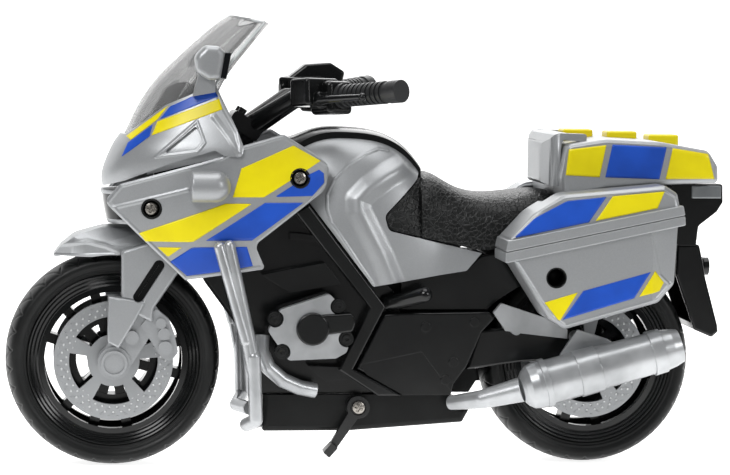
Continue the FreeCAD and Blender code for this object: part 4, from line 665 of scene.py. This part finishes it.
# Stickers as (name, panel they lie on, colour, upper line, lower line); x and z in millimetres.
FAIRING_STICKERS = (
    ("front_stripe", "side_fairing", "yellow", [(-89.0, 91.7), (-56.7, 103.4), (-47.5, 103.4)],
     [(-86.5, 88.6), (-68.7, 88.6), (-47.0, 103.2)]),
    ("middle_block", "side_fairing", "blue", [(-41.7, 103.8), (-27.0, 103.8)],
     [(-64.0, 89.2), (-46.5, 89.4)]),
    ("top_block", "side_fairing", "yellow", [(-50.8, 116.7), (-31.0, 125.4), (-20.4, 119.6)],
     [(-54.0, 105.8), (-42.2, 105.8), (-24.4, 117.0)]),
    ("rear_block", "side_fairing", "blue", [(-37.6, 106.2), (-24.6, 114.6), (-21.0, 116.3), (-19.2, 114.9)],
     [(-37.0, 106.0), (-23.6, 106.3), (-19.0, 111.4)]),
    ("low_corner", "side_fairing", "yellow", [(-82.0, 86.5), (-73.0, 86.5)], [(-78.5, 83.2), (-77.8, 83.0)]),
    ("low_block", "side_fairing", "blue", [(-77.2, 81.0), (-69.0, 86.6), (-48.4, 87.0)],
     [(-70.8, 75.6), (-58.0, 77.4), (-46.0, 79.6)]),
)
COWL_STICKERS = (
    ("cowl_top_left", "nose_cowl", "yellow", [(-93.6, 127.9), (-78.0, 139.8)],
     [(-92.0, 126.6), (-82.0, 134.6)]),
    ("cowl_top", "nose_cowl", "blue", [(-77.2, 139.6), (-72.0, 142.0), (-61.5, 147.4)],
     [(-81.2, 134.6), (-59.4, 143.6)]),
    ("cowl_middle", "nose_cowl", "yellow", [(-82.0, 133.8), (-59.0, 142.8)],
     [(-84.2, 128.6), (-57.8, 138.8)]),
    ("cowl_nose", "nose_cowl", "blue", [(-93.0, 125.6), (-83.8, 132.6)], [(-95.4, 120.2), (-85.0, 128.2)]),
)
BOX_STICKERS = (
    ("box_front", "topbox", "yellow", [(74.6, 124.8), (89.0, 126.6)], [(73.4, 114.9), (86.6, 114.2)]),
    ("box_middle", "topbox", "blue", [(91.4, 126.8), (112.6, 125.9)], [(88.8, 114.2), (110.0, 113.6)]),
    ("box_rear", "topbox", "yellow", [(115.0, 125.6), (129.0, 123.4)], [(112.4, 113.6), (131.6, 113.8)]),
    ("lid_front", "pannier_lids", "blue", [(51.4, 92.4), (58.8, 99.6), (70.8, 106.0), (86.0, 107.6)],
     [(51.8, 92.1), (79.4, 98.0)]),
    ("lid_rear", "pannier_lids", "yellow", [(88.4, 107.9), (108.4, 109.8)], [(82.0, 98.5), (105.8, 103.4)]),
    ("tub_front", "pannier_tubs", "yellow", [(62.9, 67.6), (75.6, 71.4)], [(68.3, 61.0), (69.0, 60.8)]),
    ("tub_middle", "pannier_tubs", "blue", [(77.7, 72.0), (103.6, 79.2)], [(70.0, 61.0), (97.4, 69.2)]),
    ("tub_rear", "pannier_tubs", "yellow", [(105.4, 79.6), (109.2, 75.0)], [(99.4, 69.8), (107.4, 71.8)]),
)
# Where each panel's side lies, and the stickers that need a finer grid for their round hole.
DEPTHS = {"side_fairing": fairing_depth, "nose_cowl": nose_depth, "topbox": box_depth,
          "pannier_lids": case_depth,
          "pannier_tubs": tub_depth}
HOLED_STICKERS = ("top_block", "rear_block")


def stick(name, node, colour, upper, lower, films):
    """One sticker on each side, laid on its panel, with a round hole where it meets a screw well."""
    columns, rows = (64, 48) if name in HOLED_STICKERS else (30, 14)
    for side, word in SIDES:
        points, faces = ruled_patch(upper, lower, DEPTHS[node], side, columns, rows)
        middles = points.reshape(-1, 3)[faces].mean(axis=1) / MM
        for x, z in FAIRING_SCREWS:
            outside = np.hypot(middles[:, 0] - x, middles[:, 2] - z) > STICKER_HOLE_RADIUS
            faces, middles = faces[outside], middles[outside]
        made = piece("sticker_%s_%s" % (name, word), points, faces, films[colour], "chassis")
        wrap = made.modifiers.new("lie on panel", "SHRINKWRAP")
        wrap.target = NODES[node if node in NODES else "%s_%s" % (node, word)]
        wrap.wrap_method = "PROJECT"
        wrap.use_project_y = True
        wrap.use_negative_direction = True
        wrap.use_positive_direction = True
        wrap.project_limit = 1.2 * MM
        wrap.offset = 0.04 * MM
        thick = made.modifiers.new("film", "SOLIDIFY")
        thick.thickness = looks().sticker_thick
        thick.offset = 1.0


# ---------------------------------------------------------------- wells, slots and beads


def liner(x, z, depth, side, profile, turns=72):
    """Ring turned about a sideways axis from (radius, height above the panel) pairs; it follows the panel."""
    radius, height = np.array(profile).T
    turn = np.linspace(0, 2 * math.pi, turns, endpoint=False)
    r, t = np.meshgrid(radius, turn, indexing="ij")
    lift = np.broadcast_to(height[:, None], r.shape)
    px, pz = x + r * np.cos(t), z + r * np.sin(t)
    slope = np.where(lift > -0.5, depth(px, pz), depth(np.full(r.shape, x), np.full(r.shape, z)))
    points = np.stack([px, side * (slope + lift), pz], axis=-1) * MM
    faces = grid_faces(len(profile), turns, wrap_columns=True)
    return points, faces if side > 0 else faces[:, ::-1]


def screw_face(x, z, y, side, radius=2.3, rings=40, turns=120):
    """Domed screw head with a recessed cross: rings about the axis, lowest near either arm."""
    reach = np.linspace(0.02, radius, rings)
    r, t = np.meshgrid(reach, np.linspace(0, 2 * math.pi, turns, endpoint=False), indexing="ij")
    u, v = r * np.cos(t + 0.4), r * np.sin(t + 0.4)
    near_arm = np.clip((0.56 - np.minimum(np.abs(u), np.abs(v))) / 0.14, 0, 1)
    slot = near_arm * np.clip((1.7 - r) / 0.2, 0, 1)
    lift = 0.42 * (1 - (r / radius) ** 2) - 0.85 * slot + 0.06
    points = np.stack([x + r * np.cos(t), side * (y + lift), z + r * np.sin(t)], axis=-1) * MM
    faces = grid_faces(rings, turns, wrap_columns=True)
    return points, faces[:, ::-1] if side > 0 else faces


def stadium(start, end, radius, y, side, turns=64, rings=8):
    """Flat plate with round ends between two (x, z) points: rings that shrink towards its middle line."""
    start, end = np.array(start), np.array(end)
    way = (end - start) / np.linalg.norm(end - start)
    turn = np.linspace(0, 2 * math.pi, turns, endpoint=False)
    round_ = np.stack([np.cos(turn), np.sin(turn)], axis=-1)
    hub = np.where((round_ @ way)[:, None] > 0, end, start)
    r = np.linspace(radius, 0.02, rings)[:, None, None]
    flat = hub[None] + r * round_[None]
    points = np.stack([flat[..., 0], np.full(flat.shape[:2], side * y), flat[..., 1]], axis=-1) * MM
    faces = grid_faces(rings, turns, wrap_columns=True)
    return points, faces if side > 0 else faces[:, ::-1]


def bead(path, radius, sides=12):
    """Round bead of one radius swept along a path of points in millimetres, with closed ends."""
    path = np.asarray(path, float)
    path = np.concatenate([path[:1], path, path[-1:]])
    reach = np.full(len(path), radius)
    reach[[0, -1]] = 0.01
    tangent = np.gradient(path, axis=0)
    tangent[[0, -1]] = tangent[[1, -2]]
    tangent /= np.linalg.norm(tangent, axis=1, keepdims=True)
    first = np.cross(tangent, (0.55, 0.03, -0.83))
    first /= np.linalg.norm(first, axis=1, keepdims=True)
    second = np.cross(tangent, first)
    turn = np.linspace(0, 2 * math.pi, sides, endpoint=False)
    ring = np.cos(turn)[None, :, None] * first[:, None] + np.sin(turn)[None, :, None] * second[:, None]
    return (path[:, None] + reach[:, None, None] * ring) * MM, grid_faces(len(path), sides,
                                                                          wrap_columns=True)[:, ::-1]


# Side edge of the screen at six heights: x, half width and z.
SCREEN_STATIONS = ((-62.5, -60.3, -56.8, -52.0, -46.6, -41.4), (24.6, 24.2, 23.4, 22.4, 21.0, 19.0),
                   (143.5, 148.6, 154.2, 160.2, 166.6, 172.4))


def screen_border():
    """Path round the screen's free edge: up the left edge, over the top and down the right edge."""
    rise = np.linspace(0.3, 4.93, 40)
    x, y, z = (np.polyval(np.polyfit(np.arange(6.0), row, 3), rise) for row in SCREEN_STATIONS)
    up_left = np.stack([x + 0.3, -y + 0.2, z - 0.4], axis=1)
    down_right = (up_left * np.array([1.0, -1.0, 1.0]))[::-1]
    across = np.linspace(-0.93, 0.93, 40)
    bend = np.abs(across) ** 2.2
    top = np.stack([-53.1 + 12.0 * bend, 19.0 * across, 173.9 - 2.2 * bend], axis=1)
    return np.concatenate([up_left, top, down_right])


# ---------------------------------------------------------------- operators


class Finishes(bpy.types.Operator):
    """Gives every kept CAD node its material and rounds its edges"""

    bl_idname = "motorcycle.finishes"
    bl_label = "Finishes"

    def execute(self, context):
        for nodes, name, lines in RIDGED_PANELS:
            dress(nodes, painted_silver_abs(name, lines))
        dress(BRIGHT_FLAT, metallised_plastic("metallised silver plastic"))
        for end in ("front", "rear"):
            middle = axle(end + "_tyre")[0] / MM
            dress((end + "_discs",), dotted_metal("dotted silver plastic, " + end, middle.x, middle.z))
            dress((end + "_rim",), ringed_black_abs("black polished ABS, %s rim" % end, middle.x, middle.z))
        dress(BRIGHT_ROUND, metallised_plastic("metallised silver tube", edge_mm=0.4))
        dress(GLOSS_BLACK, black_polished_abs())
        dress(SATIN_BLACK, black_satin_abs())
        dress(("seat",), grained_vinyl())
        dress(("grips",), grip_rubber())
        dress(("windscreen",), clear_polystyrene())
        dress(("headlight_lens", "mirror_glasses"), smoked_lens())
        dress(("tail_lamp",), grey_lens())
        dress(("button_1", "button_2", "button_3"), yellow_abs())
        dress(("body_screws",), zinc_steel())
        dress(("front_axle", "rear_axle", "flywheel", "button_cells", "speaker"), turned_steel())
        dress(("rear_gear", "idler_gear", "reduction_gear"), acetal())
        dress(("switch_board",), board_laminate())
        soften_edges(EDGED, looks().edge_round)
        return {"FINISHED"}


class Tyres(bpy.types.Operator):
    """Builds both treaded tyres"""

    bl_idname = "motorcycle.tyres"
    bl_label = "Tyres"

    def execute(self, context):
        rubber = tyre_pvc()
        for end in ("front", "rear"):
            points, faces = tyre_surface(end + "_tyre")
            made = piece(end + "_treaded_tyre", points, faces, rubber, end + "_wheel")
            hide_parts(end + "_tyre")
        return {"FINISHED"}


class Stickers(bpy.types.Operator):
    """Lays the yellow and blue blocks on the panels"""

    bl_idname = "motorcycle.stickers"
    bl_label = "Stickers"

    def execute(self, context):
        films = {"yellow": sticker_film("yellow vinyl film", looks().yellow, "#E2D004"),
                 "blue": sticker_film("blue vinyl film", looks().blue, "#1848AC")}
        for row in FAIRING_STICKERS + COWL_STICKERS + BOX_STICKERS:
            stick(*row, films)
        return {"FINISHED"}


class Trim(bpy.types.Operator):
    """Adds well liners, screw faces, painted shade in the fork slots and the keyhole, lamp sides, cowl flanges and
    the screen's bead
    """

    bl_idname = "motorcycle.trim"
    bl_label = "Wells, slots, flange and screen edge"

    def execute(self, context):
        black, steel, grey = black_satin_abs(), zinc_steel(), grey_lens()
        for side, word in SIDES:
            for index, (x, z) in enumerate(FAIRING_SCREWS):
                points, faces = liner(x, z, fairing_depth, side, WELL_PROFILE)
                piece("screw_well_%d_%s" % (index + 1, word), points, faces, black, "chassis")
                points, faces = screw_face(x, z, fairing_depth(x, z) - SCREW_RECESS, side)
                piece("screw_face_%d_%s" % (index + 1, word), points, faces, steel, "chassis")
            # Black keyhole piece with a closed floor: painted shadow where the screw deep in the hole lies in shade.
            points, faces = liner(*KEYHOLE, case_depth, side, KEYHOLE_SHADOW_PROFILE)
            piece("key_hole_shadow_" + word, points, faces, black, "chassis")
            points, faces = ruled_patch(LAMP_TOP, LAMP_FOOT, lamp_depth, side, 20, 8)
            lamp = piece("tail_lamp_side_" + word, points, faces, grey, "chassis")
            lamp.modifiers.new("lens", "SOLIDIFY").thickness = 0.5 * MM
            # Black plate on the floor of each fork slot: painted shade in the recess of the silver leg.
            points, faces = stadium(*FORK_SLOT, side)
            piece("fork_slot_shade_" + word, points, faces, black, "fork")
        points, faces = screw_face(*STAND_SCREW, -1)
        piece("screw_face_stand", points, faces, steel, "chassis")
        silver = painted_silver_abs("silver painted ABS, cowl flange")
        for side, word in SIDES:
            points, faces = ruled_patch(FLANGE_TOP, FLANGE_FOOT, flange_depth, side, 24, 5)
            piece("cowl_flange_" + word, points, faces, silver, "chassis")
        points, faces = bead(screen_border(), SCREEN_BEAD_RADIUS)
        piece("screen_edge", points, faces, frosted_edge(), "chassis")
        return {"FINISHED"}


def glowing_paper():
    """Paper that glows behind and below the toy and falls to grey in front, so that black parts stay deep."""
    paper, tree, shader, place = start("white paper")
    shader.inputs["Roughness"].default_value = 0.9
    shader.inputs["Emission Color"].default_value = linear("#FFFFFF")
    parts = add(tree, "SeparateXYZ", {}, {0: (place, "Object")})
    back = add(tree, "MapRange", {"interpolation_type": "SMOOTHSTEP", "From Min": -0.3, "From Max": -0.07},
               {"Value": (parts, "Y")})
    glow = add(tree, "Math", {"operation": "MULTIPLY", 1: 0.85}, {0: (back, "Result")})
    tone = ramp(tree, back, "Result", ((0.0, linear("#9A9A99")), (1.0, linear("#F4F4F3"))))
    tree.links.new(glow.outputs["Value"], shader.inputs["Emission Strength"])
    tree.links.new(tone.outputs["Color"], shader.inputs["Base Color"])
    return paper


# Profile of the paper sweep as (y, z) and its half width, in metres.
SWEEP = np.array([(-5.0, 0.0), (2.7, 0.0), (3.4, 0.09), (4.0, 0.36), (4.5, 0.9), (4.65, 1.65), (4.65, 9.0)])
SWEEP_HALF_WIDTH = 8.0
# Soft lights as (name, place, size, watts), all turned towards the middle of the toy.
LIGHTS = (("key", (-0.7, -1.0, 1.0), 0.6, 10.0), ("top", (0.0, -0.1, 1.4), 1.1, 11.0),
          ("strip", (0.9, -1.0, 0.55), 0.35, 3.5), ("back", (0.2, 1.1, 0.9), 0.8, 5.0))
LIGHT_AIM = (0, 0, 0.08)
WORLD_STRENGTH = 0.14
# Camera: turn, lift and tilt in degrees, the point it looks at, its distance, and its lens in millimetres.
CAMERA_ANGLES = (-6.9, 4.3, 0.685)
CAMERA_AIM, CAMERA_DISTANCE = (0.00045, 0, 0.08824), 1.05
CAMERA_LENS, SENSOR_WIDTH = 131.9, 36.0


class Stage(bpy.types.Operator):
    """Makes the pale floor, the soft lights and the camera"""

    bl_idname = "motorcycle.stage"
    bl_label = "Stage, lights and camera"

    def execute(self, context):
        along = np.linspace(-SWEEP_HALF_WIDTH, SWEEP_HALF_WIDTH, 3)
        x, k = np.meshgrid(along, np.arange(len(SWEEP)), indexing="ij")
        points = np.stack([x, SWEEP[k, 0], SWEEP[k, 1]], axis=-1)
        mesh = bpy.data.meshes.new("floor")
        faces = grid_faces(len(along), len(SWEEP))[:, ::-1]
        mesh.from_pydata(points.reshape(-1, 3).tolist(), [], faces.tolist())
        floor = bpy.data.objects.new("floor", mesh)
        context.scene.collection.objects.link(floor)
        mesh.materials.append(glowing_paper())
        context.scene.view_settings.view_transform = "Standard"
        world = bpy.data.worlds.new("soft room")
        world.use_nodes = True
        world.node_tree.nodes["Background"].inputs["Color"].default_value = linear("#F3F5F8")
        world.node_tree.nodes["Background"].inputs["Strength"].default_value = WORLD_STRENGTH
        context.scene.world = world
        for name, place, size, watts in LIGHTS:
            lamp = bpy.data.lights.new(name, "AREA")
            lamp.size = size
            lamp.energy = watts
            holder = bpy.data.objects.new(name, lamp)
            holder.location = place
            holder.rotation_euler = (Vector(LIGHT_AIM) - Vector(place)).to_track_quat("-Z", "Y").to_euler()
            context.scene.collection.objects.link(holder)
        self.camera(context)
        return {"FINISHED"}

    def camera(self, context):
        """Long lens, a little ahead of square-on to the left side and just above level."""
        turn, lift, tilt = (math.radians(angle) for angle in CAMERA_ANGLES)
        back = Vector((math.sin(turn) * math.cos(lift), -math.cos(turn) * math.cos(lift), math.sin(lift)))
        right = Vector((math.cos(turn), math.sin(turn), 0))
        up = back.cross(right)
        side = right * math.cos(tilt) + up * math.sin(tilt)
        rise = up * math.cos(tilt) - right * math.sin(tilt)
        data = bpy.data.cameras.new("camera")
        data.lens, data.sensor_width = CAMERA_LENS, SENSOR_WIDTH
        camera = bpy.data.objects.new("camera", data)
        turned = Matrix((side, rise, back)).transposed().to_4x4()
        camera.matrix_world = Matrix.Translation(Vector(CAMERA_AIM) + back * CAMERA_DISTANCE) @ turned
        context.scene.collection.objects.link(camera)
        context.scene.camera = camera


class MotorcyclePanel(bpy.types.Panel):
    """Lists the steps of the visual model"""

    bl_idname = "VIEW3D_PT_motorcycle"
    bl_label = "Toy Motorcycle"
    bl_space_type = "VIEW_3D"
    bl_region_type = "UI"
    bl_category = "Toy Motorcycle"

    def draw(self, context):
        for name in MotorcycleLooks.__annotations__:
            self.layout.prop(looks(), name)
        for step in STEPS:
            self.layout.operator(step.bl_idname)


STEPS = (Finishes, Tyres, Stickers, Trim, Stage)
CLASSES = (MotorcycleLooks,) + STEPS + (MotorcyclePanel,)


def register():
    for each in CLASSES:
        bpy.utils.register_class(each)
    bpy.types.Scene.motorcycle_looks = bpy.props.PointerProperty(type=MotorcycleLooks)


def unregister():
    del bpy.types.Scene.motorcycle_looks
    for each in reversed(CLASSES):
        bpy.utils.unregister_class(each)


def main():
    register()
    bpy.ops.motorcycle.finishes()
    bpy.ops.motorcycle.tyres()
    bpy.ops.motorcycle.stickers()
    bpy.ops.motorcycle.trim()
    bpy.ops.motorcycle.stage()


if __name__ == "__main__":
    main()
